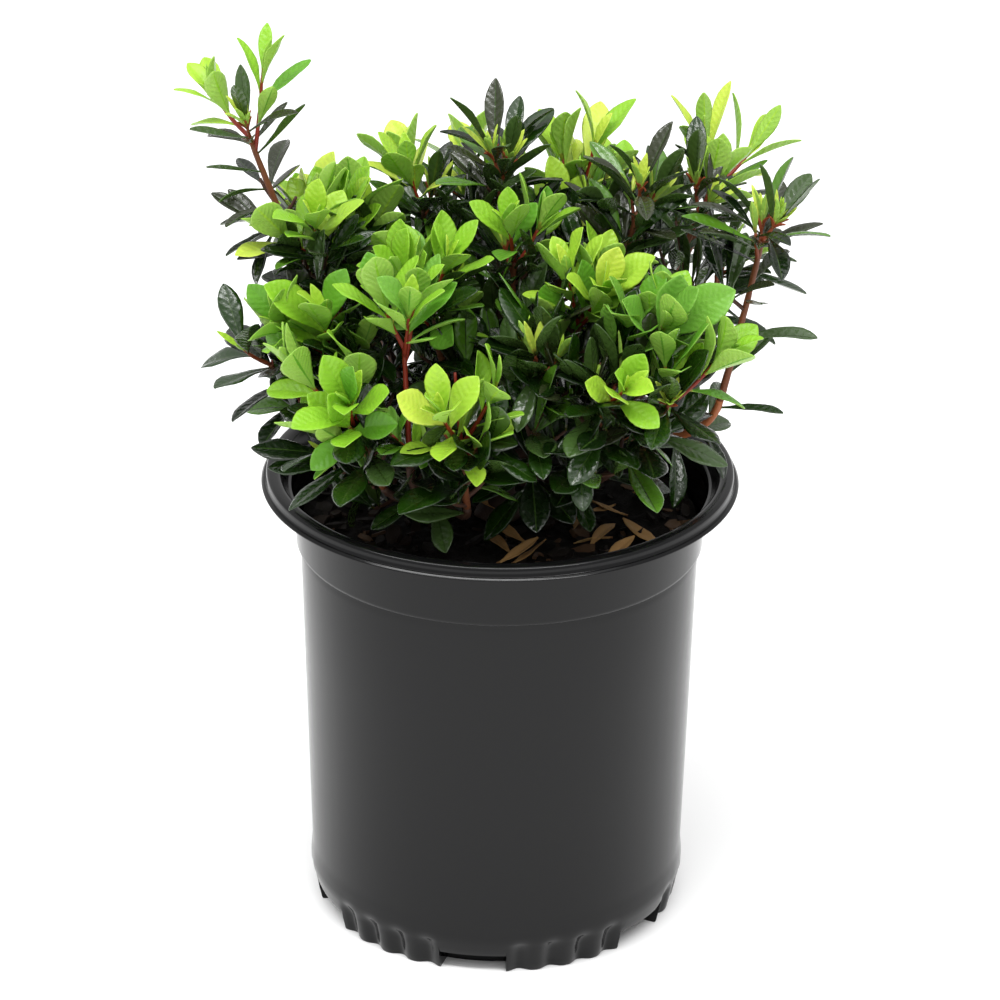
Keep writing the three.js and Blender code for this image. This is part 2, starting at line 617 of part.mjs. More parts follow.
const hearts = MASSES.map(heartsOf);
const stemRadius = (share) => blend(BOUGH_TIP_RADIUS, STEM_TIP_RADIUS, share);
const stems = MASSES.map((mass) => limb(stemCurve(mass), stemRadius, STEM_SIDES, 3));
const limbRooms = [potRoom(), ...[...limbs.values()].map(({ room }) => room)];
const masses = [];
MASSES.forEach((mass, index) => {
  const otherStems = stems.filter((stem) => stem !== stems[index]).map(({ room }) => room);
  const rooms = [...limbRooms, ...otherStems, ...masses];
  masses.push(makeMass(mass, index, hearts, rooms, stems[index]));
  const young = [...mass.shoots].filter((kind) => kind === 'y' || kind === 't').length * 2 > mass.shoots.length;
  place(`foliage_${mass.name}`, masses[index], young ? 'young_foliage' : 'old_foliage');
});

export default azalea;
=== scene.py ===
"""An azalea shrub in a black nursery pot.

The plant grows by the rule of the part's source, written again here and carried on to finer
twigs, more leaves and buds. Lengths are millimetres until a mesh is made. +Z is up, and the
front of the plant faces -Y.
"""
from collections import namedtuple
from math import cos, degrees, hypot, pi, radians, sin, sqrt

import bmesh
import bpy
import numpy as np
from mathutils import Matrix, Vector, noise


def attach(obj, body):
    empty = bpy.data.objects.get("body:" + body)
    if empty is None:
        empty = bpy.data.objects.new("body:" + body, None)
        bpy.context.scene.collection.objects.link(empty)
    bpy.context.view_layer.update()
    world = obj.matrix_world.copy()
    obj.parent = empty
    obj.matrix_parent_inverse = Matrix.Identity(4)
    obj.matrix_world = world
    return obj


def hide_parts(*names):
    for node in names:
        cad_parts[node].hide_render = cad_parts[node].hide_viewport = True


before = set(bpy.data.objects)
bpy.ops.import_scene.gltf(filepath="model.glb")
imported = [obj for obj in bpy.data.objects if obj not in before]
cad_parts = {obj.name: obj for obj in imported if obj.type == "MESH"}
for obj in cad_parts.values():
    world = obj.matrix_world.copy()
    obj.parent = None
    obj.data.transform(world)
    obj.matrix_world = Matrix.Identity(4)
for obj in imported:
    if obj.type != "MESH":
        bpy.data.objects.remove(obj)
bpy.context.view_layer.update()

MM = 0.001
UP = np.array((0.0, 0.0, 1.0))
ACROSS = np.array((1.0, 0.0, 0.0))

# The pot and its filling, as in the part's source. Only the flutes differ: they are scooped
# deeper and narrower here, so that they show.
POT_HEIGHT = 165.0
RIM_RADIUS = 82.5
RIM_MOUTH_RADIUS = 75.6
RIM_DEPTH = 4.8
RIM_CREST_RADIUS = 80.8
FLANGE_THICKNESS = 1.2
COLLAR_RADIUS = 70.6
COLLAR_FOOT_Z = 139.0
WALL_TOP_RADIUS = 69.0
WALL_FOOT_RADIUS = 65.8
FOOT_BULGE_RADIUS = 66.3
FOOT_RADIUS = 63.6
FOOT_HEIGHT = 14.0
FOOT_BLEND_Z = 22.0
WALL_THICKNESS = 1.6
FLOOR_THICKNESS = 2.0
FOOT_GROUPS = 6
GROUP_PITCH = 360 / FOOT_GROUPS
FLUTES_PER_GROUP = 4
NOTCH_BEARING = -97.0
NOTCH_WIDTH = 21.0
NOTCH_HEIGHT = 6.5
NOTCH_REACH = 7.0
FLUTE_PITCH = 10.2
FLUTE_DEPTH = 1.5
FLUTE_DEEPENING = 1.35
FLUTE_NARROWING = 1.4
FLUTE_HEIGHT = 13.0
MEDIUM_TOP_Z = 147.0
MEDIUM_EDGE = COLLAR_RADIUS - WALL_THICKNESS - 0.7

# The limbs, as in the part's source.
CLEARANCE = 0.3
TRUNK_HEIGHT = 27.0
TRUNK_LEAN = (-1.5, 2.0)
TRUNK_FLARE_RADIUS = 9.0
TRUNK_WAIST_RADIUS = 5.6
TRUNK_TOP_RADIUS = 4.4
TRUNK_FLARE_SHARE = 0.35
BOUGH_ROOT_RADIUS = 2.3
SIDE_BOUGH_ROOT_RADIUS = 1.7
BOUGH_TIP_RADIUS = 1.35
BOUGH_BEND = 0.42
STEM_TIP_RADIUS = 0.95
STEM_SAG = 0.06
SHOOT_ROOT_RADIUS = 0.85
SHOOT_TIP_RADIUS = 0.5
SHOOT_RISE = 0.35
SHOOT_STEP_DOWN = 0.05
CROWN_HEART_Z = 178.0
SPIRAL_TURN = 137.5
HEART_REACH = 10.0
TURN_TRIES = (0, 35, -35, 70, -70)

# The regions of the crown. The dense inner crown widens upwards. Its foot is open at the front,
# some masses stand out from it, and sky shows between the limbs on its right.
INNER_REACH = 70.0
INNER_WIDENING = 0.4
INNER_TOP_Z = 268.0
OPEN_FOOT_Z = 196.0
BACK_Y = 40.0
HIGH_FORK_Z = 216.0
SIDE_SHOOTS_TOP_Z = 245.0
OUTLYING_REACH = 84.0
AIRY_SIDE_X = 60.0

# The masses of foliage, as in the part's source, with the tint of the young leaves of each one.
Mass = namedtuple("Mass", "name carrier at fork stem shoots turn spread old tint rise reach size",
                  defaults=(0.45, 1.0, 1.0))
MASSES = (
    Mass("front_red_stem", "trunk", 0.62, (-32, -50, 230), 44, "yyy", 170, 26, 0, 2, rise=0.9),
    Mass("left_lime", "trunk", 0.5, (-58, -25, 217), 36, "yyy", 190, 34, 5, 2, reach=1.1, size=1.1),
    Mass("upper_left", "trunk", 0.85, (-52, 12, 236), 42, "yyy", 280, 26, 5, 1, size=1.15),
    Mass("middle_young", "trunk", 0.98, (4, 2, 240), 42, "yyb", 250, 34, 5, 2, size=0.9),
    Mass("right_dark", "trunk", 0.72, (76, 28, 226), 40, "oob", 330, 38, 6, 2),
    Mass("front_right", "trunk", 0.55, (56, -50, 211), 38, "yyb", 20, 34, 6, 2, reach=1.1),
    Mass("back_centre", "trunk", 0.8, (-10, 62, 234), 40, "yby", 90, 34, 6, 1, size=1.05),
    Mass("top_right_dark", "trunk", 0.9, (46, 14, 254), 43, "bbo", 255, 32, 6, 0, size=1.1),
    Mass("front_left_low", "front_red_stem", 0.55, (-49, -52, 204), 32, "yyy", 170, 34, 4, 2,
         rise=0.6, reach=1.3, size=1.05),
    Mass("front_lime", "front_red_stem", 0.42, (-13, -60, 201), 30, "yyt", 250, 36, 5, 1,
         rise=0.7, reach=1.3),
    Mass("middle_left", "front_red_stem", 0.8, (-25, -18, 232), 34, "yyy", 230, 36, 5, 2),
    Mass("left_dark", "left_lime", 0.7, (-78, -18, 210), 28, "oy", 200, 34, 5, 2, size=1.05),
    Mass("left_low", "left_lime", 0.45, (-50, -38, 184), 28, "oo", 215, 38, 5, 2, size=1.05),
    Mass("far_left", "upper_left", 0.55, (-85, 0, 285), 52, "ybt", 150, 30, 7, 2, size=0.9),
    Mass("left_young", "upper_left", 0.35, (-63, -8, 245), 30, "yyy", 195, 36, 2, 1),
    Mass("top_left", "upper_left", 0.75, (-28, 37, 245), 38, "yyb", 134, 26, 5, 1, size=0.95),
    Mass("top_dark", "middle_young", 0.6, (-1, 31, 260), 44, "bbo", 200, 26, 6, 0, rise=0.7, size=1.05),
    Mass("centre_right", "middle_young", 0.75, (27, -16, 228), 36, "yyy", 306, 30, 5, 1),
    Mass("far_right", "right_dark", 0.45, (87, -9, 253), 60, "bbo", 340, 28, 7, 0, rise=0.75),
    Mass("upper_right", "right_dark", 0.7, (67, 22, 250), 34, "bby", 190, 30, 5, 1, size=0.95),
    Mass("right_front", "front_right", 0.7, (46, -34, 221), 36, "yyy", 290, 26, 5, 3, reach=0.9,
         size=1.18),
    Mass("centre_dark", "front_right", 0.3, (13, -44, 219), 34, "oob", 240, 40, 6, 2, rise=0.7,
         size=1.1),
    Mass("front_centre", "front_right", 0.5, (34, -52, 212), 34, "yob", 280, 42, 6, 2, rise=0.6,
         size=0.95),
    Mass("upper_right_lime", "top_right_dark", 0.6, (74, 50, 250), 44, "tt", 10, 36, 6, 1, reach=0.6),
    Mass("top_lime", "top_right_dark", 0.45, (25, 46, 243), 40, "yty", 180, 28, 5, 1),
    Mass("back_right", "top_right_dark", 0.3, (48, 66, 222), 39, "byo", 62, 36, 6, 1, size=1.1),
    Mass("back_left", "back_centre", 0.6, (-58, 52, 222), 38, "yyb", 130, 36, 6, 1, size=1.1),
    Mass("back_low", "back_centre", 0.3, (6, 74, 196), 32, "oyo", 90, 40, 6, 2, size=1.05),
)

# The leaves of each kind of shoot: y is a young shoot, t a taller one with slimmer leaves, b a
# ripe one with a bud and o an old one. An old leaf's width goes by its height instead.
Shoot = namedtuple("Shoot", "length leaves leaf_length lean tip_share heart form width_share",
                   defaults=(None,))
SHOOTS = {
    "y": Shoot(17, 6, 25, (46, 11), 0.7, 2, "young", 0.48),
    "t": Shoot(23, 5, 27, (42, 12), 0.8, 1, "young", 0.38),
    "b": Shoot(9, 4, 26, (82, 24), 0.9, 8, "old"),
    "o": Shoot(11, 4, 27, (98, 42), 0.85, 2, "old"),
}
OLD_LEAF_LENGTH = 27.0
OLD_LEAF_LEAN = 84.0
LOWEST_LEAF = 0.35
LEAF_CROWDING = 0.7
FULLEST_LEAF = 0.4

# Young leaves from the youngest tint to the oldest, and old leaves from the foot of the crown
# to its top. The last two tints of old leaves are for single ones. The deep tint, nearly black,
# is partly painted shade, dealt most often low in the crown. The grey and olive tints are partly
# painted highlight: lighter than the leaves' own green, they stand in for the grey-green shine on
# old leaves, and grey comes more often the higher the mass.
YOUNG_TINTS = {"lemon": 0xBCD250, "lime": 0x9CC43A, "fresh": 0x84B62E, "grass": 0x5F962A,
               "cool": 0x6FA23C}
OLD_TINTS = {"deep": 0x0A1B04, "green": 0x183306, "grey": 0x3A5226, "bronzed": 0x2C321D,
             "olive": 0x4E7A1E}
BRONZED, OLIVE = 3, 4
BRONZED_SHARE = 0.38
OLIVE_SHARE = 0.1
BRONZING_AND_PAINTED_LIGHT_FOOT_Z = 200
BRONZING_AND_PAINTED_LIGHT_RISE = 60

# Old leaves are slimmer high in the crown, and young ones in the masses that stand out from it.
OLD_WIDTH_SHARE = 0.41
HIGH_WIDTH_SHARE = 0.26
SLIMMING_FOOT_Z = 205
SLIMMING_RISE = 50
OUTLYING_SLIMMING = 0.1
YOUNG_SLIMMING = 0.02

# How far a leaf turns its face to the light and lifts its tip. Other forms do neither.
LIGHT_TURN = {"young": 0.12, "old": 0.5}
LIFT = {"old": 0.3}

# Room round a leaf: what it looks for, and what it makes do with in each place. EASE is by how
# much it may lie nearer to another mass than to its own. FEELERS are places on its blade, along
# it and across it.
NEARBY = 40
LEAF_ROOM = 3.0
TIGHTEST_ROOM = 1.0
INNER_ROOM = 0.7
SHOOT_LEAF_ROOM = 0.3
EASE = 3.0
BOUGH_LEAF_EASE = 20
FEELERS = ((0.45, 0), (0.62, 0.38), (0.62, -0.38), (0.78, 0), (0.97, 0))

# The small leaves at a shoot's tip: length in millimetres, width as a share of it and lean in
# degrees, each as a middle and a spread.
Small = namedtuple("Small", "length width lean")
HEART_LEAF = Small((14, 3), (0.32, 0.05), (14, 8))
BUD_LEAF = Small((12, 4.5), (0.2, 0.04), (18, 12))
BUD_SCALE = Small((5.5, 1.5), (0.3, 0.06), (24, 12))

# Finer growth: its places as shares of a stem from the foot, with the middle and the spread of
# its length in millimetres and of its lean in degrees. At the foot of a bare stem each place has
# its own bearing, and one length and one lean serve for both.
Sprigs = namedtuple("Sprigs", "places length lean")
SIDE_SHOOTS = Sprigs((0.9, 0.76, 0.6), (11, 2), (46, 8))
INNER_TWIGS = Sprigs((0.04, 0.17, 0.3, 0.43, 0.56, 0.69, 0.82), (13, 3), (58, 10))
AIRY_TWIGS = INNER_TWIGS._replace(places=(0.15, 0.6))
BARE_FOOT_SHOOTS = Sprigs(((0.16, 200), (0.08, 330)), 9, 50)
BARE_FOOT_LEAF_SIZE = 0.7
BARE_STEM_GIRTH = 0.8


class Draws:
    """A stream of draws from 0 to 1 that is the same on every run."""

    def __init__(self, seed):
        self.state = (seed * 7919) % 2147483647 or 1
        self.next()
        self.next()

    def next(self):
        self.state = (self.state * 48271) % 2147483647
        return self.state / 2147483647

    def about(self, middle, spread):
        return middle + (self.next() * 2 - 1) * spread


# The first seed of each kind of growth, and how far apart the seeds of two masses are.
SEEDS = {"shoots": (1009, 37), "shoot looks": (5003, 41), "stem": (101, 1), "stem looks": (301, 1),
         "side shoots": (6007, 43), "inside": (9001, 59), "bough": (7001, 67)}


def draws_for(growth, index, place=0):
    first, apart = SEEDS[growth]
    return Draws(first + index * apart + place)


def blend(a, b, share):
    return a + (b - a) * share


def held(value, low=0, high=1):
    """The value, held between two limits."""
    return min(max(value, low), high)


def unit(v):
    return v / np.linalg.norm(v)


def towards(a, b, share):
    return unit(blend(a, b, share))


def leaning(axis, turn, lean):
    """The direction that leans out from the axis by lean degrees, at the bearing turn round it."""
    side = unit(ACROSS - axis * (ACROSS @ axis))
    ahead = np.cross(axis, side)
    turn, lean = radians(turn), radians(lean)
    out = side * cos(turn) + ahead * sin(turn)
    return axis * cos(lean) + out * sin(lean)


class Line:
    """A line bowed through three points, as the source bends its limbs."""

    def __init__(self, foot, middle, top):
        self.foot, self.middle, self.top = foot, middle, top

    def at(self, share):
        rest = 1 - share
        return self.foot * rest**2 + self.middle * 2 * rest * share + self.top * share**2

    def heading(self, share):
        return unit((self.middle - self.foot) * (1 - share) + (self.top - self.middle) * share)

    def length(self):
        points = [self.at(i / 8) for i in range(9)]
        return sum(np.linalg.norm(b - a) for a, b in zip(points, points[1:]))


# Growth, by the source's rule.


def stem_line(mass):
    top = np.array(mass.fork, float)
    lean = towards(unit(top - UP * CROWN_HEART_Z), UP, mass.rise)
    foot = top - lean * mass.stem
    middle = foot + lean * mass.stem * 0.5 - UP * mass.stem * STEM_SAG
    return Line(foot, middle, top)


def shoot_line(root, axis, turn, lean, length):
    outward = leaning(axis, turn, lean)
    middle = root + outward * length * 0.5
    return Line(root, middle, middle + towards(outward, UP, SHOOT_RISE) * length * 0.5)


def trunk_line():
    foot = UP * (MEDIUM_TOP_Z + CLEARANCE)
    top = np.array((*TRUNK_LEAN, foot[2] + TRUNK_HEIGHT))
    return Line(foot, UP * (foot[2] + top[2]) / 2, top)


def trunk_radius(share):
    flare = np.maximum(0, 1 - share / TRUNK_FLARE_SHARE) ** 2
    shaft = blend(TRUNK_WAIST_RADIUS, TRUNK_TOP_RADIUS, share)
    return shaft + (TRUNK_FLARE_RADIUS - TRUNK_WAIST_RADIUS) * flare


def bough_line(mass, carrier):
    stem = stem_line(mass)
    root = carrier.at(mass.at)
    arriving = stem.heading(0)
    reach = np.linalg.norm(stem.foot - root)
    tip = stem.foot - arriving * CLEARANCE
    return Line(root, tip - arriving * reach * BOUGH_BEND, tip)


def hearts_of(mass):
    stem = stem_line(mass)
    beyond = stem.top + stem.heading(1) * HEART_REACH * mass.size
    return [stem.at(share) for share in (0.25, 0.5, 0.75, 1)] + [beyond]


HEARTS = np.array([hearts_of(mass) for mass in MASSES])


def strays(points, index, ease):
    """Whether any point lies nearer to another mass than to this one, by more than ease."""
    far = np.linalg.norm(points[:, None, None] - HEARTS[None], axis=3).min(axis=2)
    own = far[:, index].copy()
    far[:, index] = np.inf
    return bool((far.min(axis=1) + ease < own).any())


def in_pot(points):
    """Whether any point lies in what fills the pot, or hangs low over its rim."""
    reach = np.hypot(points[:, 0], points[:, 1])
    rim = (reach > COLLAR_RADIUS - 4) & (points[:, 2] < POT_HEIGHT + 5)
    filling = points[:, 2] < MEDIUM_TOP_Z + 2
    return bool((rim | filling).any())


def past_inner_crown(points):
    """Whether any point lies past the dense inner crown, which widens upwards."""
    reach = np.hypot(points[:, 0], points[:, 1])
    too_wide = reach > INNER_REACH + INNER_WIDENING * (points[:, 2] - CROWN_HEART_Z)
    return bool((too_wide | (points[:, 2] > INNER_TOP_Z)).any())


def outer_half(line):
    return np.array([line.at(0.5), line.at(1)])


def outlying(mass):
    """Whether a mass stands out from the crown, on a bough that shows."""
    return hypot(*mass.fork[:2]) > OUTLYING_REACH


def airy(mass):
    """Whether a mass stands high on the right of the crown, where sky shows between the limbs."""
    return mass.fork[0] > AIRY_SIDE_X


Leaf = namedtuple("Leaf", "root axis turn lean length width form tint curl fold roll twist wave")
Twig = namedtuple("Twig", "line root_radius tip_radius tone")

# How far a leaf of each form curls, folds up along its midrib, rolls its edges down, twists and
# waves, each as a middle and a spread.
Pose = namedtuple("Pose", "curl fold roll twist wave")
POSES = {
    "young": Pose((-0.22, 0.34), (0.36, 0.16), (0.12, 0), (0, 0.35), (0.06, 0.05)),
    "old": Pose((-0.2, 0.4), (0.34, 0.16), (0.3, 0.12), (0, 0.3), (0.05, 0.04)),
    "bud": Pose((-0.15, 0.2), (0.4, 0.1), (0.05, 0), (0, 0.2), (0.02, 0)),
    "scale": Pose((-0.3, 0.4), (0.5, 0.1), (0.05, 0), (0, 0.3), (0.02, 0)),
    "dead": Pose((0.2, 0.5), (0.5, 0.3), (0.2, 0), (0, 0.9), (0.1, 0)),
}


def leaf_frame(leaf):
    """Along, across and upper: the leaf's own directions, turned a little to the light."""
    along = unit(leaning(leaf.axis, leaf.turn, leaf.lean) + UP * LIFT.get(leaf.form, 0.0))
    upper = np.cross(along, unit(np.cross(leaf.axis, along)))
    skyward = UP - along * (UP @ along)
    if np.linalg.norm(skyward) > 0.25:
        upper = towards(upper, unit(skyward), LIGHT_TURN.get(leaf.form, 0.0))
        upper = unit(upper - along * (upper @ along))
    return along, np.cross(upper, along), upper


def feelers(leaf):
    """Points on a leaf's blade by which it feels for room."""
    along, across, upper = leaf_frame(leaf)
    sag = sin(leaf.curl) * leaf.length * 0.5
    return np.array([leaf.root + along * leaf.length * v + across * leaf.width * u
                     + upper * sag * v * v for v, u in FEELERS])


class Crown:
    """All the leaves and twigs that have grown so far."""

    def __init__(self):
        self.leaves = []
        self.twigs = []
        self.points = np.empty((0, 3))

    def room(self, points):
        near = self.points[np.abs(self.points - points.mean(axis=0)).max(axis=1) < NEARBY]
        return np.linalg.norm(points[:, None] - near[None], axis=2).min(initial=np.inf)

    def sprout(self, line, tone):
        self.twigs.append(Twig(line, SHOOT_ROOT_RADIUS, SHOOT_TIP_RADIUS, tone))

    def grow(self, leaves, index, ease=EASE, needed=TIGHTEST_ROOM, inner=False):
        """Grows each leaf at the first of its turns that has room, or at the roomiest one."""
        for leaf in leaves:
            best = (needed, None, None)
            for more in TURN_TRIES:
                tried = leaf._replace(turn=leaf.turn + more)
                points = feelers(tried)
                if in_pot(points) or strays(points, index, ease):
                    continue
                if inner and past_inner_crown(points):
                    continue
                room = self.room(points)
                if room > best[0]:
                    best = (room, tried, points)
                if room > LEAF_ROOM:
                    break
            if best[1]:
                self.leaves.append(best[1])
                self.points = np.vstack((self.points, best[2]))


def spiral(count, draws):
    """The bearings at which leaves follow each other round a twig."""
    phase = draws.next() * 360
    return [phase + i * SPIRAL_TURN for i in range(count)]


def posed(root, axis, turn, lean, length, width, form, tint, draws):
    """A leaf with the pose of its form. Slim old leaves fold up most."""
    pose = POSES[form]
    if form == "old":
        slimness = held((0.4 - width / length) / 0.14)
        pose = pose._replace(fold=(blend(0.34, 0.7, slimness), 0.16))
    drawn = [draws.about(middle, spread) if spread else middle for middle, spread in pose]
    return Leaf(root, axis, turn, lean, length, width, form, tint, *drawn)


def leaf_on(line, at, *rest):
    return posed(line.at(at), line.heading(at), *rest)


def tint_near(middle, draws):
    return int(held(round(middle + draws.about(0, 0.8)), 0, len(YOUNG_TINTS) - 1))


def old_tint(mass, draws):
    """Old leaves are bronzed high in the crown. Low in it they are more often the nearly black
    deep green, which is partly painted shade, and high in it more often the lighter grey, which is
    partly painted highlight.
    """
    height = (mass.fork[2] - BRONZING_AND_PAINTED_LIGHT_FOOT_Z) / BRONZING_AND_PAINTED_LIGHT_RISE
    share = draws.next()
    if share < BRONZED_SHARE * height:
        return BRONZED
    if share > 1 - OLIVE_SHARE:
        return OLIVE
    # The lighter grey tint, partly painted highlight, comes more often the higher the mass.
    return int(draws.next() * blend(2.0, 2.9, held(height)))


def old_width(mass, length, draws, breadth=1):
    height = held((mass.fork[2] - SLIMMING_FOOT_Z) / SLIMMING_RISE)
    share = blend(OLD_WIDTH_SHARE, HIGH_WIDTH_SHARE, height)
    return length * share * draws.about(breadth, 0.15)


def shoot_leaves(line, kind, mass, draws, looks):
    shoot = SHOOTS[kind]
    tint = tint_near(mass.tint, looks)
    slimming = OUTLYING_SLIMMING if outlying(mass) else YOUNG_SLIMMING
    for i, turn in enumerate(spiral(shoot.leaves, draws)):
        share = i / (shoot.leaves - 1)
        at = blend(LOWEST_LEAF, 1, share**LEAF_CROWDING)
        from_fullest = abs(share - FULLEST_LEAF) / (1 - FULLEST_LEAF)
        fullness = 1 - (1 - shoot.tip_share) * from_fullest
        length = shoot.leaf_length * mass.size * fullness * draws.about(1, 0.12)
        turn += draws.about(0, 10)
        lean = blend(*shoot.lean, share) + draws.about(0, 7)
        if shoot.form == "young":
            width = length * (shoot.width_share - slimming)
            own_tint = tint_near(tint, looks)
        else:
            width = old_width(mass, length, looks)
            own_tint = old_tint(mass, looks)
        yield leaf_on(line, at, turn, lean, length, width, shoot.form, own_tint, looks)


def stem_leaves(line, mass, draws, looks):
    for i, turn in enumerate(spiral(mass.old, draws)):
        at = blend(0.12, 0.94, (i + 0.5) / mass.old)
        length = OLD_LEAF_LENGTH * mass.size * draws.about(1, 0.14)
        lean = draws.about(OLD_LEAF_LEAN, 14)
        width = old_width(mass, length, looks)
        yield leaf_on(line, at, turn, lean, length, width, "old", old_tint(mass, looks), looks)


# Growth, carried on to what the source leaves out.


def heart_leaves(line, kind, mass, looks):
    """The small leaves that open last in the heart of a shoot, and a ripe shoot's bud leaves."""
    tip, heading = line.at(1), line.heading(1)
    fresh = SHOOTS[kind].form == "young"
    small = HEART_LEAF if fresh else BUD_LEAF
    size, tint = (mass.size, mass.tint - 1) if fresh else (1, 0)
    for turn in spiral(SHOOTS[kind].heart, looks):
        length = looks.about(*small.length) * size
        width = length * looks.about(*small.width)
        own_tint = tint_near(tint, looks)
        lean = looks.about(*small.lean)
        yield posed(tip - heading, heading, turn, lean, length, width, "bud", own_tint, looks)


def bud_scales(line, looks):
    """The six rust-red scales round a ripe shoot's bud, which dry and curl back."""
    tip, heading = line.at(1), line.heading(1)
    for turn in spiral(6, looks):
        length = looks.about(*BUD_SCALE.length)
        root = tip - heading * looks.about(1.5, 1.5)
        lean = looks.about(*BUD_SCALE.lean)
        width = length * looks.about(*BUD_SCALE.width)
        yield posed(root, heading, turn, lean, length, width, "scale", 0, looks)


def sprig_lines(stem, mass, sprigs, looks):
    for share, turn in zip(sprigs.places, spiral(len(sprigs.places), looks)):
        length = looks.about(*sprigs.length) * mass.size
        lean = looks.about(*sprigs.lean)
        yield shoot_line(stem.at(share), stem.heading(share), turn, lean, length)


def side_leaves(line, mass, looks, count=5):
    turns = spiral(count, looks)
    tint = tint_near(mass.tint + 1, looks)
    for i, turn in enumerate(turns):
        share = i / (count - 1)
        length = looks.about(20, 3) * mass.size
        width = length * looks.about(0.44, 0.05)
        lean = blend(58, 14, share) + looks.about(0, 8)
        yield leaf_on(line, blend(LOWEST_LEAF, 1, share), turn, lean, length, width, "young",
                      tint_near(tint, looks), looks)


def whorl_leaves(line, mass, count, share, looks):
    """Old leaves in a loose ring where last year's growth ended."""
    for turn in spiral(count, looks):
        at = share - 0.05 * looks.next()
        length = OLD_LEAF_LENGTH * mass.size * looks.about(0.9, 0.16)
        width = old_width(mass, length, looks)
        lean = looks.about(76, 16)
        yield leaf_on(line, at, turn, lean, length, width, "old", old_tint(mass, looks), looks)


def twig_leaves(line, mass, count, looks):
    for i, turn in enumerate(spiral(count, looks)):
        share = i / (count - 1)
        at = blend(0.45, 1, share)
        length = looks.about(22, 4) * mass.size
        width = old_width(mass, length, looks, 1.04)
        lean = blend(88, 40, share) + looks.about(0, 12)
        yield leaf_on(line, at, turn, lean, length, width, "old", old_tint(mass, looks), looks)


def bough_leaves(bough, mass, looks):
    """Old leaves that still hang on the outer half of a bough, close together where it is high."""
    high = mass.fork[2] > HIGH_FORK_Z
    apart = 7 if outlying(mass) else 3.5 if high and not airy(mass) else 9
    lowest = 0.34 if high else 0.42
    count = int(bough.length() / apart)
    for i, turn in enumerate(spiral(count, looks)):
        at = blend(lowest, 0.97, (i + 0.5) / count)
        length = OLD_LEAF_LENGTH * looks.about(0.88, 0.16)
        width = old_width(mass, length, looks, 1.06)
        lean = looks.about(80, 16)
        # The deep tint here is partly painted shade inside the crown, and the grey partly painted
        # highlight.
        tint = int(looks.next() * 2.4)
        yield leaf_on(bough, at, turn, lean, length, width, "old", tint, looks)


def grow_shoots(crown, mass, index, stem):
    for place, kind in enumerate(mass.shoots):
        draws = draws_for("shoots", index, place)
        looks = draws_for("shoot looks", index, place)
        root = stem.at(1 - SHOOT_STEP_DOWN * place)
        turn = mass.turn + place * 360 / len(mass.shoots) + draws.about(0, 12)
        spread = draws.about(mass.spread, 5)
        length = SHOOTS[kind].length * mass.reach * draws.about(1, 0.2)
        lines = [shoot_line(root, stem.heading(1), turn + more, spread, length)
                 for more in TURN_TRIES]
        clear = [line for line in lines if not strays(outer_half(line), index, CLEARANCE)]
        if not clear:
            continue
        line = clear[0]
        crown.sprout(line, "young" if SHOOTS[kind].form == "young" else "ripe")
        crown.grow(shoot_leaves(line, kind, mass, draws, looks), index, needed=SHOOT_LEAF_ROOM)
        crown.grow(heart_leaves(line, kind, mass, looks), index, needed=0.0)
        if kind == "b":
            crown.leaves += bud_scales(line, looks)


def grow_side_shoots(crown, mass, index, stem):
    """Short young shoots that spring from under the fork of a young mass."""
    looks = draws_for("side shoots", index)
    for line in sprig_lines(stem, mass, SIDE_SHOOTS, looks):
        if not strays(outer_half(line), index, EASE):
            crown.sprout(line, "young")
            crown.grow(side_leaves(line, mass, looks), index)


def grow_bare_foot(crown, mass, index, stem, looks):
    """Old leaves and two short young shoots round the foot of a bare stem."""
    crown.grow(whorl_leaves(stem, mass, 5, 0.2, looks), index)
    places, length, lean = BARE_FOOT_SHOOTS
    for share, turn in places:
        line = shoot_line(stem.at(share), stem.heading(share), turn, lean, length)
        crown.sprout(line, "young")
        crown.grow((leaf._replace(length=leaf.length * BARE_FOOT_LEAF_SIZE,
                                  width=leaf.width * BARE_FOOT_LEAF_SIZE)
                    for leaf in side_leaves(line, mass, looks)), index)


def grow_inside(crown, mass, index, stem):
    """Finer twigs that fill the inside of a mass with old leaves."""
    looks = draws_for("inside", index)
    if not mass.old:
        grow_bare_foot(crown, mass, index, stem, looks)
        return
    crown.grow(whorl_leaves(stem, mass, 3, 0.99, looks), index)
    for line in sprig_lines(stem, mass, AIRY_TWIGS if airy(mass) else INNER_TWIGS, looks):
        if in_pot(outer_half(line)) or past_inner_crown(outer_half(line)):
            continue
        crown.sprout(line, "inner")
        full = line.foot[2] > OPEN_FOOT_Z or mass.fork[1] > BACK_Y
        crown.grow(twig_leaves(line, mass, 6 if full else 4, looks), index, needed=INNER_ROOM,
                   inner=True)


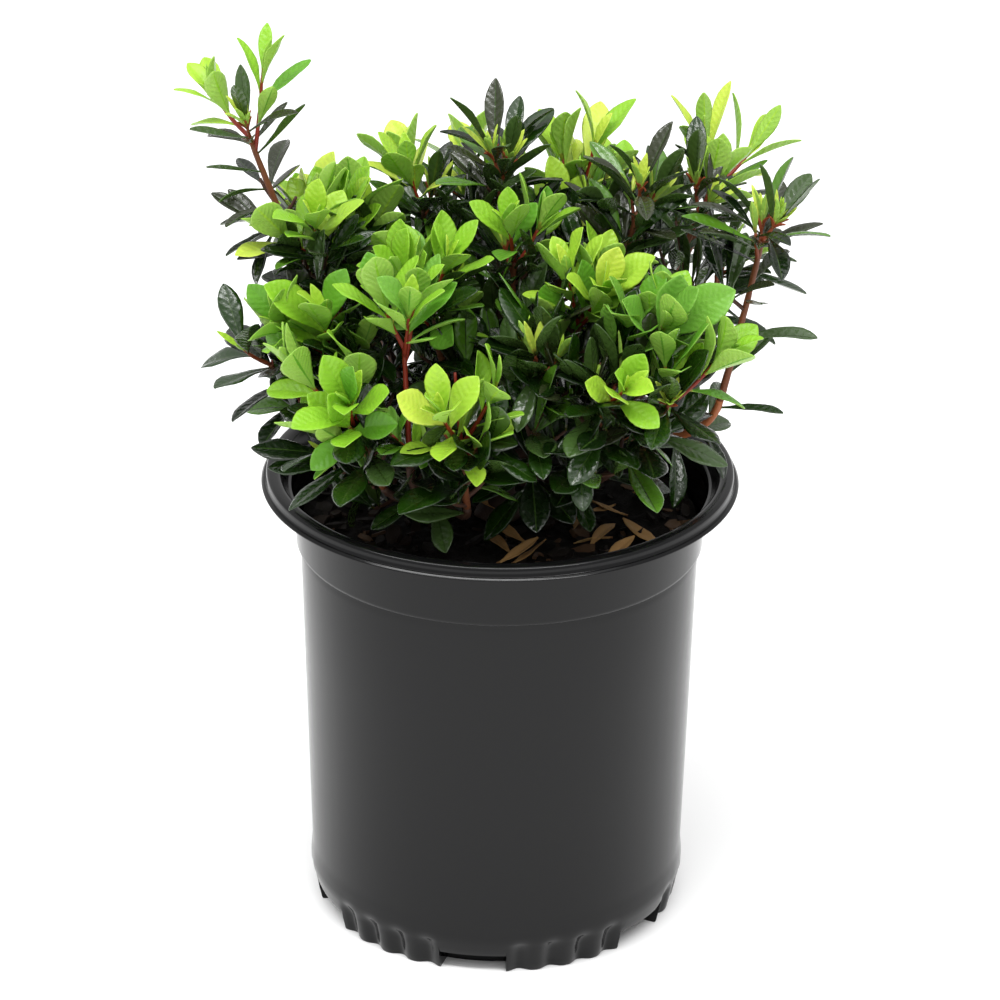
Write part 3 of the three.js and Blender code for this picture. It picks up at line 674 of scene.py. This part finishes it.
def grow_plant():
    crown = Crown()
    limbs = {"trunk": trunk_line()}
    for mass in MASSES:
        limbs[mass.name] = bough_line(mass, limbs[mass.carrier])
    stems = [stem_line(mass) for mass in MASSES]
    for index, mass in enumerate(MASSES):
        tone, girth = ("stem", 1.0) if mass.old else ("young", BARE_STEM_GIRTH)
        crown.twigs.append(Twig(stems[index], BOUGH_TIP_RADIUS * girth, STEM_TIP_RADIUS * girth, tone))
        grow_shoots(crown, mass, index, stems[index])
    for index, mass in enumerate(MASSES):
        all_young = all(SHOOTS[kind].form == "young" for kind in mass.shoots)
        if all_young and mass.old > 2 and mass.fork[2] < SIDE_SHOOTS_TOP_Z:
            grow_side_shoots(crown, mass, index, stems[index])
    for index, mass in enumerate(MASSES):
        draws, looks = draws_for("stem", index), draws_for("stem looks", index)
        crown.grow(stem_leaves(stems[index], mass, draws, looks), index)
    for index, mass in enumerate(MASSES):
        grow_inside(crown, mass, index, stems[index])
        leaves = bough_leaves(limbs[mass.name], mass, draws_for("bough", index))
        crown.grow(leaves, index, ease=BOUGH_LEAF_EASE, needed=INNER_ROOM, inner=not outlying(mass))
    return crown, limbs


# Meshes.


def place_in_scene(name, data):
    made = bpy.data.objects.new(name, data)
    bpy.context.scene.collection.objects.link(made)
    return made


def new_mesh(name, points, faces, finishes):
    """A mesh from points in millimetres."""
    mesh = bpy.data.meshes.new(name)
    mesh.from_pydata((np.asarray(points) * MM).tolist(), [], faces)
    for dressing in finishes:
        mesh.materials.append(dressing)
    return mesh


def make_piece(name, points, faces, finishes, zones=None):
    """A smooth piece of the part, with the finish that zones gives each face."""
    mesh = new_mesh(name, points, faces, finishes)
    if zones is not None:
        mesh.polygons.foreach_set("material_index", np.asarray(zones, np.int32))
    mesh.polygons.foreach_set("use_smooth", np.ones(len(mesh.polygons), bool))
    mesh.update()
    made = place_in_scene(name, mesh)
    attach(made, "root")
    return made


def circle(reach, around):
    turns = [2 * pi * k / around for k in range(around)]
    return [(reach * cos(turn), reach * sin(turn)) for turn in turns]


def ring_faces(rings, around):
    """Quads between closed rings of points that follow each other."""
    return [(r * around + k, r * around + (k + 1) % around,
             (r + 1) * around + (k + 1) % around, (r + 1) * around + k)
            for r in range(rings - 1) for k in range(around)]


# A leaf is a closed shell: rings of points from its stalk to its tip, with a groove for the
# midrib above, the midrib's ridge below and a thin rolled edge. Columns are places across the
# leaf, from -1 to 1, and rows are shares of its length. An outline is two powers: a higher first
# one sets the widest place nearer to the tip, and a lower second one makes the leaf fuller.
TOP_COLUMNS = (-1, -0.88, -0.45, -0.055, 0.055, 0.45, 0.88, 1)
UNDER_COLUMNS = (0.85, 0.42, 0.07, -0.07, -0.42, -0.85)
COLUMNS = np.array(TOP_COLUMNS + UNDER_COLUMNS)
COLUMN_ZONES = (["blade"] * 3 + ["rib"] + ["blade"] * 3 + ["under"] * 3 + ["rib"] + ["under"] * 3)
LEAF_ROWS = np.array((0.0, 0.07, 0.17, 0.3, 0.44, 0.58, 0.7, 0.81, 0.9, 0.96, 0.99))[:, None]
BUD_ROWS = np.array((0.0, 0.25, 0.5, 0.75, 0.93))[:, None]
OUTLINES = {"young": (1.62, 0.78), "old": (1.68, 0.74), "bud": (1.35, 0.85), "scale": (1.1, 0.8),
            "dead": (1.3, 0.9)}
VEIN_SLANT = 0.9
LEAF_THICKNESS = 0.3
STALK_THICKENING = 1.2
STALK_HALF_WIDTH = 0.42
RIB_GROOVE = 0.1
RIB_RIDGE = 0.14


def leaf_template(rows):
    around = len(COLUMNS)
    faces = ring_faces(len(rows), around)
    zones = COLUMN_ZONES * (len(rows) - 1)
    zones[:around] = ["stalk"] * around
    last = (len(rows) - 1) * around
    tip = len(rows) * around
    faces += [(last + k, last + (k + 1) % around, tip) for k in range(around)]
    zones += COLUMN_ZONES
    faces.append(tuple(range(around))[::-1])
    zones.append("stalk")
    return faces, zones


def each(leaves, key):
    return np.array([getattr(leaf, key) for leaf in leaves])[:, None, None]


def half_widths(leaves, rows, form):
    """Half the width of each leaf at each row."""
    peak, fullness = OUTLINES[form]
    width = each(leaves, "width")
    half = width / 2 * np.sin(pi * rows**peak) ** fullness
    return np.maximum(half, np.minimum(STALK_HALF_WIDTH, width * 0.08))


def lay_veins(made, leaves, rows, form):
    """Lays millimetres over each leaf: from one side vein to the next, and out from the midrib."""
    out = half_widths(leaves, rows, form) * np.abs(COLUMNS)
    length = each(leaves, "length")
    ahead = length * rows - out * VEIN_SLANT
    laid = np.stack((ahead, out), axis=-1).reshape(len(leaves), -1, 2)
    tips = np.stack((length[:, 0, 0], np.zeros(len(leaves))), axis=-1)[:, None]
    laid = np.concatenate((laid, tips), axis=1).reshape(-1, 2)
    corners = np.empty(len(made.data.loops), np.int32)
    made.data.loops.foreach_get("vertex_index", corners)
    made.data.uv_layers.new(name="veins").data.foreach_set("uv", laid[corners].ravel())


def leaf_points(leaves, rows, form):
    """The points of many leaves at once, as an array of leaf, point and coordinate."""
    over = np.array([1.0] * len(TOP_COLUMNS) + [0.0] * len(UNDER_COLUMNS))
    over[[0, len(TOP_COLUMNS) - 1]] = 0.5
    rib = (np.abs(COLUMNS) < 0.1) * np.where(over > 0, -RIB_GROOVE, -RIB_RIDGE)
    u, v = COLUMNS, rows
    half = half_widths(leaves, rows, form)
    length = each(leaves, "length")
    curl = each(leaves, "curl") + 1e-4  # so that no leaf is quite straight, and none divides by 0

    def arc(v):
        return length * v * np.sinc(curl * v / pi), length * (1 - np.cos(curl * v)) / curl

    reach, rise = arc(v)
    open_share = np.clip(v * 5, 0, 1)
    fold = each(leaves, "fold") * np.abs(u) ** 1.3 - each(leaves, "roll") * np.abs(u) ** 3
    waves = each(leaves, "wave") * np.sin(v * 11 + each(leaves, "turn")) * u
    thick = LEAF_THICKNESS * (1 + STALK_THICKENING * (1 - open_share))
    depth = half * (fold + waves) * open_share + thick * (over - 0.5) + rib * open_share
    spin = each(leaves, "twist") * v
    sideways = u * half * np.cos(spin) - depth * np.sin(spin)
    lift = u * half * np.sin(spin) + depth * np.cos(spin)
    bow = curl * v
    ahead = reach - lift * np.sin(bow)
    above = rise + lift * np.cos(bow)

    frames = [leaf_frame(leaf) for leaf in leaves]
    along, across, upper = (np.array([f[i] for f in frames])[:, None, None] for i in range(3))
    roots = each(leaves, "root")
    shell = roots + along * ahead[..., None] + across * sideways[..., None]
    shell = (shell + upper * above[..., None]).reshape(len(leaves), -1, 3)
    tip_reach, tip_rise = arc(1)
    tips = roots + along * tip_reach[..., None] + upper * tip_rise[..., None]
    return np.concatenate((shell, tips[:, 0]), axis=1)


LeafFinishes = namedtuple("LeafFinishes", "blades under stalk rib", defaults=(None,))


def make_leaves(name, leaves, rows, form, finishes):
    """Joined leaves. A leaf's tint is the place of its finish among the blades, and a midrib
    without a finish of its own takes the blade's."""
    faces, zones = leaf_template(rows)
    points = leaf_points(leaves, rows, form)
    size = points.shape[1]
    all_faces = [tuple(i + n * size for i in face) for n in range(len(leaves)) for face in faces]
    ribs = [finishes.rib] if finishes.rib else []
    dressed = [*finishes.blades, *ribs, finishes.under, finishes.stalk]
    places = {"under": len(dressed) - 2, "stalk": len(dressed) - 1}
    if ribs:
        places["rib"] = len(finishes.blades)
    all_zones = [places.get(zone, leaf.tint) for leaf in leaves for zone in zones]
    made = make_piece(name, points.reshape(-1, 3), all_faces, dressed, all_zones)
    lay_veins(made, leaves, rows, form)
    return made


def tube(line, radius_at, around, steps, rough):
    """Points and faces of a limb with its bark's relief, closed at both ends."""
    points = []
    across = unit(np.cross(line.heading(0), (0.3, 0.9, 0.2)))
    for step in range(steps + 1):
        share = step / steps
        middle, heading = line.at(share), line.heading(share)
        across = unit(across - heading * (across @ heading))
        ahead = np.cross(heading, across)
        radius = radius_at(share)
        for k in range(around):
            turn = 2 * pi * k / around
            out = across * cos(turn) + ahead * sin(turn)
            point = middle + out * radius
            points.append(point + out * rough(point, turn))
    faces = ring_faces(steps + 1, around)
    faces.append(tuple(range(around))[::-1])
    faces.append(tuple(range(steps * around, (steps + 1) * around)))
    return points, faces


def make_joined(name, parts, tones, finishes):
    """One piece of many parts. Each one's tone is the place of its finish."""
    points, faces, zones = [], [], []
    for (own_points, own_faces), tone in zip(parts, tones):
        faces += [tuple(i + len(points) for i in face) for face in own_faces]
        points += list(own_points)
        zones += [tone] * len(own_faces)
    return make_piece(name, points, faces, finishes, zones)


def bark_relief(depth, grain):
    """Shallow fissures that run along the limb, and knuckles where leaves have fallen."""
    def rough(point, turn):
        spot = Vector((cos(turn) * 2, sin(turn) * 2, point[2] / grain))
        knuckle = noise.noise(Vector(point) / 3.0)
        return depth * (noise.noise(spot * 1.7) + 0.6 * knuckle)
    return rough


# Finishes.


def linear(sheet):
    """An sRGB hex colour as a linear one with alpha."""
    parts = [(sheet >> shift & 255) / 255 for shift in (16, 8, 0)]
    return (*(c / 12.92 if c <= 0.04045 else ((c + 0.055) / 1.055) ** 2.4 for c in parts), 1.0)


def add(tree, kind, settings, links=()):
    """Adds a node with its settings and its links from other nodes' outputs."""
    node = tree.nodes.new("ShaderNode" + kind)
    for key, value in settings.items():
        if key in node.inputs:
            node.inputs[key].default_value = value
        else:
            setattr(node, key, value)
    for socket, source in dict(links).items():
        tree.links.new(source, node.inputs[socket])
    return node


def finish(name, colour, roughness, grain_mm, relief, veins=None, shine=0.5, **settings):
    """A finish: its colour, its roughness from low to high, and its grain as bump.

    grain_mm is the grain's real size and relief its depth, both in millimetres. veins gives the
    distance between a leaf's side veins and the depth of the quilting between them."""
    made = bpy.data.materials.new(name)
    made.use_nodes = True
    tree = made.node_tree
    tree.nodes.clear()
    places = add(tree, "TexCoord", {}).outputs
    grain = add(tree, "TexNoise", {"Scale": 1 / (grain_mm * MM), "Detail": 3.0},
                {"Vector": places["Object"]}).outputs["Fac"]
    patches = add(tree, "TexNoise", {"Scale": 1 / (grain_mm * 6 * MM), "Detail": 2.0},
                  {"Vector": places["Object"]}).outputs["Fac"]
    to_gloss = {"From Min": 0.35, "From Max": 0.65, "To Min": roughness[0], "To Max": roughness[1]}
    gloss = add(tree, "MapRange", to_gloss, {"Value": patches}).outputs["Result"]
    bump = add(tree, "Bump", {"Strength": 1.0, "Distance": relief * MM},
               {"Height": grain}).outputs["Normal"]
    if veins:
        # The node's bands lie pi / 10 apart at a scale of 1.
        waves = {"Scale": pi / (10 * veins[0]), "Distortion": 1.2, "Detail Scale": 0.3}
        quilting = add(tree, "TexWave", waves, {"Vector": places["UV"]}).outputs["Fac"]
        bump = add(tree, "Bump", {"Strength": 1.0, "Distance": veins[1] * MM},
                   {"Height": quilting, "Normal": bump}).outputs["Normal"]
    settings = {"Base Color": linear(colour), "Specular IOR Level": shine, **settings}
    surface = add(tree, "BsdfPrincipled", settings, {"Roughness": gloss, "Normal": bump})
    add(tree, "OutputMaterial", {}, {"Surface": surface.outputs["BSDF"]})
    return made


# Young leaf: soft new tissue a third of a millimetre thick. Light soaks through it, so it glows
# lime, and its fine quilting breaks the shine into small glints.
SOFT = {"Subsurface Weight": 0.15, "Subsurface Radius": (0.6, 1.0, 0.25),
        "Subsurface Scale": 0.002, "IOR": 1.42, "shine": 0.45}
# Old leaf: leathery, with a waxy skin that shines in broad glints and greys at its edges.
WAXY = {"IOR": 1.5, "shine": 0.66}


def young(part, colour):
    return finish(f"young_leaf_{part}", colour, (0.26, 0.42), 1.3, 0.24, (2.4, 0.07), **SOFT)


def old(part, colour):
    return finish(f"old_leaf_{part}", colour, (0.14, 0.3), 1.4, 0.2, (2.8, 0.06), **WAXY)


young_finishes = LeafFinishes([young(*tint) for tint in YOUNG_TINTS.items()],
                              young("under", 0x94BC50), young("stalk", 0xA6A845))
old_finishes = LeafFinishes([old(*tint) for tint in OLD_TINTS.items()], old("under", 0x3C5424),
                            old("stalk", 0x4A4A1C), old("rib", 0x2E4418))
# Bud scale: dry and papery, so it is matt. Dead leaf: dry, and paler underneath.
scale_finish = finish("bud_scale", 0x93441F, (0.5, 0.7), 0.5, 0.05)
scale_finishes = LeafFinishes([scale_finish], scale_finish, scale_finish)
dead_finishes = LeafFinishes([finish("dead_leaf", 0xA57E4C, (0.6, 0.8), 0.8, 0.12)],
                             finish("dead_leaf_under", 0xC4A069, (0.6, 0.8), 0.8, 0.12),
                             finish("dead_leaf_stalk", 0x7A5530, (0.6, 0.8), 0.8, 0.1))

# Bark: thin and papery. It is rust red on this year's shoots and brown on older wood.
bark_finishes = {
    "stem": finish("stem_bark", 0x6C3A1C, (0.5, 0.7), 0.6, 0.1),
    "ripe": finish("ripe_shoot_bark", 0x7E3A1C, (0.45, 0.65), 0.5, 0.08),
    "young": finish("young_shoot_bark", 0x842412, (0.4, 0.55), 0.5, 0.05),
    "inner": finish("inner_twig_bark", 0x45281A, (0.6, 0.8), 0.6, 0.1),
}
# Bough bark: boughs that stand out from the crown take a brighter orange copy, partly the bark's own
# colour and partly painted light; the boughs inside the crown take the darker one.
bough_finishes = [finish("bough_bark", 0x3F2619, (0.6, 0.8), 0.9, 0.2),
                  finish("painted_lit_outer_bough_bark", 0x9A562C, (0.5, 0.7), 0.7, 0.15)]
trunk_finish = finish("trunk_bark", 0x38251B, (0.65, 0.85), 1.2, 0.3)

# Black polypropylene, injection moulded: dark and satin, with a very fine pebbled skin from the
# mould. Its grain is drawn at 0.5 mm, coarser than the real 0.1 mm, so that it shows.
pot_finish = finish("moulded_black_plastic", 0x0B0B0C, (0.13, 0.18), 0.5, 0.0015, shine=0.36, IOR=1.4)
# Damp peat and composted bark: nearly black, matt and crumbly.
medium_finish = finish("damp_peat", 0x0B0705, (0.8, 0.95), 0.8, 0.5, shine=0.15)
chip_finishes = [finish("dark_chip", 0x140D08, (0.7, 0.9), 0.7, 0.25, shine=0.25),
                 finish("brown_chip", 0x22150C, (0.7, 0.9), 0.7, 0.25, shine=0.25),
                 finish("pale_chip", 0x4A331D, (0.7, 0.9), 0.7, 0.2)]


# The pot: one closed shell, with its outline changed from bearing to bearing at the foot.


def flute_depth(bearing):
    """How far the foot is scooped in at a bearing."""
    middle = (bearing - NOTCH_BEARING) % GROUP_PITCH - GROUP_PITCH / 2
    place = middle / FLUTE_PITCH + (FLUTES_PER_GROUP - 1) / 2
    if not -0.5 < place < FLUTES_PER_GROUP - 0.5:
        return 0.0
    swing = 0.5 + 0.5 * cos(2 * pi * place)
    return FLUTE_DEPTH * FLUTE_DEEPENING * swing**FLUTE_NARROWING


def wall_radius(share):
    return blend(WALL_FOOT_RADIUS, WALL_TOP_RADIUS, share)


def wall_inner_radius(z):
    return wall_radius(z / COLLAR_FOOT_Z) - WALL_THICKNESS


def pot_outline(bearing, notched):
    """Radius and height of the pot's shell at a bearing, from under its floor to inside it."""
    scoop = flute_depth(bearing)
    shoulder = COLLAR_FOOT_Z - 3
    flange_z = POT_HEIGHT - RIM_DEPTH
    inner_foot = FOOT_RADIUS - FLUTE_DEPTH - WALL_THICKNESS
    inset = FOOT_RADIUS - NOTCH_REACH

    def near(radius, z, steps):
        return [(radius + out, z + up) for out, up in steps]

    if notched:
        foot = near(inset, 0, ((-1, 0), (0, 0.4), (0, 3), (0, NOTCH_HEIGHT)))
        foot += near(FOOT_RADIUS, NOTCH_HEIGHT, ((0, 0), (0.9, 0.5)))
        inside = [(inset - 2, NOTCH_HEIGHT + 2.2), (inset - 2, NOTCH_HEIGHT + 2.0)]
    else:
        foot = near(FOOT_RADIUS - scoop, 0, ((-1, 0), (-0.3, 0.2), (0.1, 1), (0.5, 3), (1, 5),
                                             (1.4, 7.5)))
        inside = [(inner_foot, NOTCH_HEIGHT + 2.2), (inset - 2, FLOOR_THICKNESS + 0.3)]
    return [
        (0.01, 0),
        *foot,
        (FOOT_RADIUS + 1.9 - scoop * 0.9, 9.5),
        (FOOT_RADIUS + 2.2 - scoop * 0.55, 11.5),
        (FOOT_BULGE_RADIUS - scoop * 0.1, FLUTE_HEIGHT),
        (FOOT_BULGE_RADIUS, FOOT_HEIGHT + 1.5),
        (blend(FOOT_BULGE_RADIUS, WALL_FOOT_RADIUS, 0.6), 19),
        (WALL_FOOT_RADIUS, FOOT_BLEND_Z),
        (wall_radius(0.33), 60),
        (wall_radius(0.66), 98),
        *near(WALL_TOP_RADIUS, shoulder, ((0, -2), (-0.2, 0), (-0.5, 1.4), (-0.4, 2.1))),
        *near(COLLAR_RADIUS, COLLAR_FOOT_Z, ((-0.4, -0.8), (0, -0.3), (0.05, 0.5))),
        *near(COLLAR_RADIUS, flange_z, ((0.9, -4.5), (1, -2.5), (1.6, -1.2), (3.5, -0.3))),
        (RIM_CREST_RADIUS, flange_z - 0.05),
        *near(RIM_RADIUS, flange_z, ((-0.35, 0), (-0.05, 0.15), (0, 0.4), (-0.1, 0.6),
                                     (-0.4, 0.9), (-0.7, FLANGE_THICKNESS))),
        *near(RIM_CREST_RADIUS, flange_z + FLANGE_THICKNESS, ((0.4, 0.05), (0.1, 0.4))),
        *near(RIM_CREST_RADIUS, POT_HEIGHT, ((0, -1.8), (-0.1, -0.9), (-0.5, -0.35),
                                             (-1.2, -0.1))),
        *near(RIM_MOUTH_RADIUS, POT_HEIGHT, ((2.2, 0), (1.2, -0.15), (0.5, -0.6), (-0.1, -1.5))),
        (COLLAR_RADIUS + 1.2, flange_z - 3),
        (COLLAR_RADIUS - WALL_THICKNESS, COLLAR_FOOT_Z + 1),
        (wall_inner_radius(COLLAR_FOOT_Z), shoulder),
        (wall_inner_radius(FOOT_BLEND_Z), FOOT_BLEND_Z),
        (inner_foot, FLUTE_HEIGHT + WALL_THICKNESS),
        *inside,
        (inset - 2.2, FLOOR_THICKNESS),
        (0.01, FLOOR_THICKNESS),
    ]


def pot_mesh():
    """The outlines at every bearing, with two at each side of a notch so that it is square."""
    outlines = []
    half = NOTCH_WIDTH / 2
    for group in range(FOOT_GROUPS):
        start = NOTCH_BEARING + group * GROUP_PITCH
        outlines += [(start + half * k / 6, True) for k in range(-6, 7)]
        outlines += [(start + blend(half, GROUP_PITCH - half, k / 48), False) for k in range(49)]
    points = []
    for bearing, notched in outlines:
        turn = radians(bearing)
        points += [(r * cos(turn), r * sin(turn), z)
                   for r, z in pot_outline(bearing, notched)]
    rows = len(pot_outline(0, False))
    count = len(outlines)
    faces = []
    for k in range(count):
        after = (k + 1) % count
        faces += [(k * rows + r, after * rows + r, after * rows + r + 1, k * rows + r + 1)
                  for r in range(rows - 1)]
    return points, faces


def weld(made, distance_mm):
    """Welds points that share a place, and drops the faces that this closes up."""
    work = bmesh.new()
    work.from_mesh(made.data)
    bmesh.ops.remove_doubles(work, verts=work.verts, dist=distance_mm * MM)
    bmesh.ops.dissolve_degenerate(work, edges=work.edges, dist=distance_mm * MM / 2)
    bmesh.ops.recalc_face_normals(work, faces=work.faces)
    work.to_mesh(made.data)
    work.free()


pot = make_piece("nursery_pot", *pot_mesh(), [pot_finish])
weld(pot, 0.03)
pot.data.set_sharp_from_angle(angle=radians(38))
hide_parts("pot")


# The growing medium: a crumbly top on a plain body.


def crumble(x, y):
    """The height of the medium's surface over its mean level."""
    swell = noise.noise(Vector((x / 22, y / 22, 0.3))) * 2.2
    clods = noise.noise(Vector((x / 5, y / 5, 1.7))) * 1.3
    grit = noise.noise(Vector((x / 1.6, y / 1.6, 4.1))) * 0.7
    return swell + clods + grit - 0.4


def on_medium(x, y):
    return x, y, MEDIUM_TOP_Z + crumble(x, y)


def medium_mesh():
    rings, around = 60, 180
    points = [on_medium(0, 0)]
    for ring in range(1, rings + 1):
        points += [on_medium(x, y) for x, y in circle(MEDIUM_EDGE * ring / rings, around)]
    for reach, z in ((MEDIUM_EDGE, COLLAR_FOOT_Z + 3), (wall_inner_radius(130) - 1, 130),
                     (wall_inner_radius(FOOT_BLEND_Z) - 1, FOOT_BLEND_Z)):
        points += [(x, y, z) for x, y in circle(reach, around)]
    faces = [(0, 1 + k, 1 + (k + 1) % around) for k in range(around)]
    faces += [tuple(i + 1 for i in (a, d, c, b)) for a, b, c, d in ring_faces(rings + 3, around)]
    faces.append(tuple(1 + (rings + 2) * around + k for k in range(around))[::-1])
    return points, faces


medium = make_piece("peat_and_bark_mix", *medium_mesh(), [medium_finish])
weld(medium, 0.01)
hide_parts("growing_medium")

CHIP_OUTLINE = ((-0.5, -0.3), (-0.1, -0.5), (0.5, -0.35), (0.45, 0.2), (0.05, 0.5), (-0.45, 0.35))
CHIP_COUNT = 420
DEAD_LEAF_COUNT = 16


def chip_mesh(draws):
    """A splinter of bark: a flat, ragged block that lies at a slant."""
    length = blend(2.5, 9, draws.next() ** 2)
    size = np.array((length, length * draws.about(0.5, 0.2), length * draws.about(0.22, 0.08)))
    corners = [(x, y, z) for z in (-0.5, 0.5) for x, y in CHIP_OUTLINE]
    block = np.array([[c + draws.about(0, 0.1) for c in corner] for corner in corners]) * size
    spin = Matrix.Rotation(draws.next() * 2 * pi, 3, "Z")
    for axis in "XY":
        spin = spin @ Matrix.Rotation(draws.about(0, 0.5), 3, axis)
    reach = MEDIUM_EDGE * 0.95 * sqrt(draws.next())
    turn = draws.next() * 2 * pi
    place = np.array(on_medium(reach * cos(turn), reach * sin(turn)))
    faces = ring_faces(2, 6) + [(5, 4, 3, 2, 1, 0), (6, 7, 8, 9, 10, 11)]
    return block @ np.array(spin.transposed()) + place + UP * size[2] * 0.3, faces


litter_draws = Draws(71)
chips = [chip_mesh(litter_draws) for _ in range(CHIP_COUNT)]
tones = [int(blend(0, 2.99, litter_draws.next() ** 2)) for _ in chips]
bark_chips = make_joined("bark_chips", chips, tones, chip_finishes)
bark_chips.data.set_sharp_from_angle(angle=radians(30))


def dead_leaf(draws):
    """A dead leaf on the medium. Most of them have blown to the right front of the pot."""
    reach = MEDIUM_EDGE * 0.92 * sqrt(draws.next())
    turn = radians(draws.about(-30, 62))
    root = np.array(on_medium(reach * cos(turn), reach * sin(turn))) + UP * 1.2
    length = draws.about(17, 4)
    inward = degrees(turn) + 180 + draws.about(0, 100)
    lean = draws.about(84, 5)
    width = length * draws.about(0.25, 0.06)
    return posed(root, UP, inward, lean, length, width, "dead", 0, draws)


strewn_leaves = [dead_leaf(litter_draws) for _ in range(DEAD_LEAF_COUNT)]
dead_leaves = make_leaves("dead_leaves", strewn_leaves, LEAF_ROWS, "dead", dead_finishes)


# The plant.

crown, limbs = grow_plant()

trunk_mesh = tube(limbs["trunk"], trunk_radius, 36, 40, bark_relief(0.5, 4.0))
trunk = make_piece("trunk_bark", *trunk_mesh, [trunk_finish])
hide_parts("trunk")


def limb_mesh(line, root_radius, tip_radius, around, step, rough):
    steps = max(int(line.length() / step), 5)
    return tube(line, lambda share: blend(root_radius, tip_radius, share), around, steps, rough)


def bough_mesh(mass):
    root_radius = BOUGH_ROOT_RADIUS if mass.carrier == "trunk" else SIDE_BOUGH_ROOT_RADIUS
    return limb_mesh(limbs[mass.name], root_radius, BOUGH_TIP_RADIUS, 12, 1.4, bark_relief(0.2, 3.0))


def twig_mesh(twig):
    return limb_mesh(twig.line, twig.root_radius, twig.tip_radius, 8, 1.5, bark_relief(0.12, 2.0))


# Boughs that stand out from the crown take the brighter bark, which is partly painted light.
tones = [int(outlying(mass)) for mass in MASSES]
boughs = make_joined("bough_bark", [bough_mesh(mass) for mass in MASSES], tones, bough_finishes)
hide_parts(*[f"bough_{mass.name}" for mass in MASSES])

tones = [list(bark_finishes).index(twig.tone) for twig in crown.twigs]
twigs = make_joined("stems_and_shoots", [twig_mesh(twig) for twig in crown.twigs], tones,
                    list(bark_finishes.values()))
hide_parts(*[f"foliage_{mass.name}" for mass in MASSES])

leaves_of = {form: [leaf for leaf in crown.leaves if leaf.form == form] for form in OUTLINES}
young_leaves = make_leaves("young_leaves", leaves_of["young"], LEAF_ROWS, "young", young_finishes)
bud_leaves = make_leaves("bud_leaves", leaves_of["bud"], BUD_ROWS, "bud", young_finishes)
scales = make_leaves("bud_scales", leaves_of["scale"], BUD_ROWS, "scale", scale_finishes)

# Old leaves in three storeys, so that no piece is too big to export.
for storey, bottom, top in (("upper", 222, np.inf), ("middle", 200, 222), ("lower", 0, 200)):
    leaves = [leaf for leaf in leaves_of["old"] if bottom < leaf.root[2] <= top]
    old_leaves = make_leaves(f"{storey}_old_leaves", leaves, LEAF_ROWS, "old", old_finishes)


# Floor, lights and camera.


def make_floor():
    """A pale disc that reaches past the picture's edge."""
    pale = finish("studio_floor", 0xFCFCFC, (0.9, 0.95), 40, 0.0, shine=0.0)
    points = [(x, y, 0) for x, y in circle(6000, 96)]
    floor = place_in_scene("studio_floor", new_mesh("studio_floor", points, [range(96)], [pale]))


def add_light(name, kind, **settings):
    light = bpy.data.lights.new(name, kind)
    for key, value in settings.items():
        setattr(light, key, value)
    return place_in_scene(name, light)


def light_studio():
    """White surroundings, a broad light overhead, and a narrow strip that glints on the edges."""
    world = bpy.data.worlds.new("studio")
    world.use_nodes = True
    background = world.node_tree.nodes["Background"].inputs
    background["Color"].default_value = (1.0, 1.0, 1.0, 1.0)
    background["Strength"].default_value = 0.7
    bpy.context.scene.world = world
    bpy.context.scene.view_settings.view_transform = "Standard"
    overhead = add_light("overhead_light", "SUN", energy=1.45, angle=radians(80))
    overhead.rotation_euler = (radians(16), radians(-2), 0)
    strip = add_light("strip_softbox", "AREA", shape="RECTANGLE", size=3.2, size_y=0.3, energy=37)
    strip.location = (-0.2, -0.9, 1.9)
    to_plant = Vector((0, 0, 0.2)) - strip.location
    strip.rotation_euler = to_plant.to_track_quat("-Z", "Y").to_euler()


def place_camera():
    """The photograph's viewpoint: 25 degrees above the horizon, with a slight roll."""
    distance, elevation, roll = 1.6, radians(25.15), radians(0.6)
    aim = Vector((0.000055, 0.0, 0.1518))
    back = Vector((0.0, -cos(elevation), sin(elevation)))
    camera = bpy.data.cameras.new("camera")
    camera.sensor_width = 36.0
    camera.lens = 166.2
    camera.clip_end = 50.0
    made = place_in_scene("camera", camera)
    made.location = aim + back * distance
    facing = (-back).to_track_quat("-Z", "Y").to_matrix().to_4x4()
    made.rotation_euler = (facing @ Matrix.Rotation(roll, 4, "Z")).to_euler()
    bpy.context.scene.camera = made


make_floor()
light_studio()
place_camera()
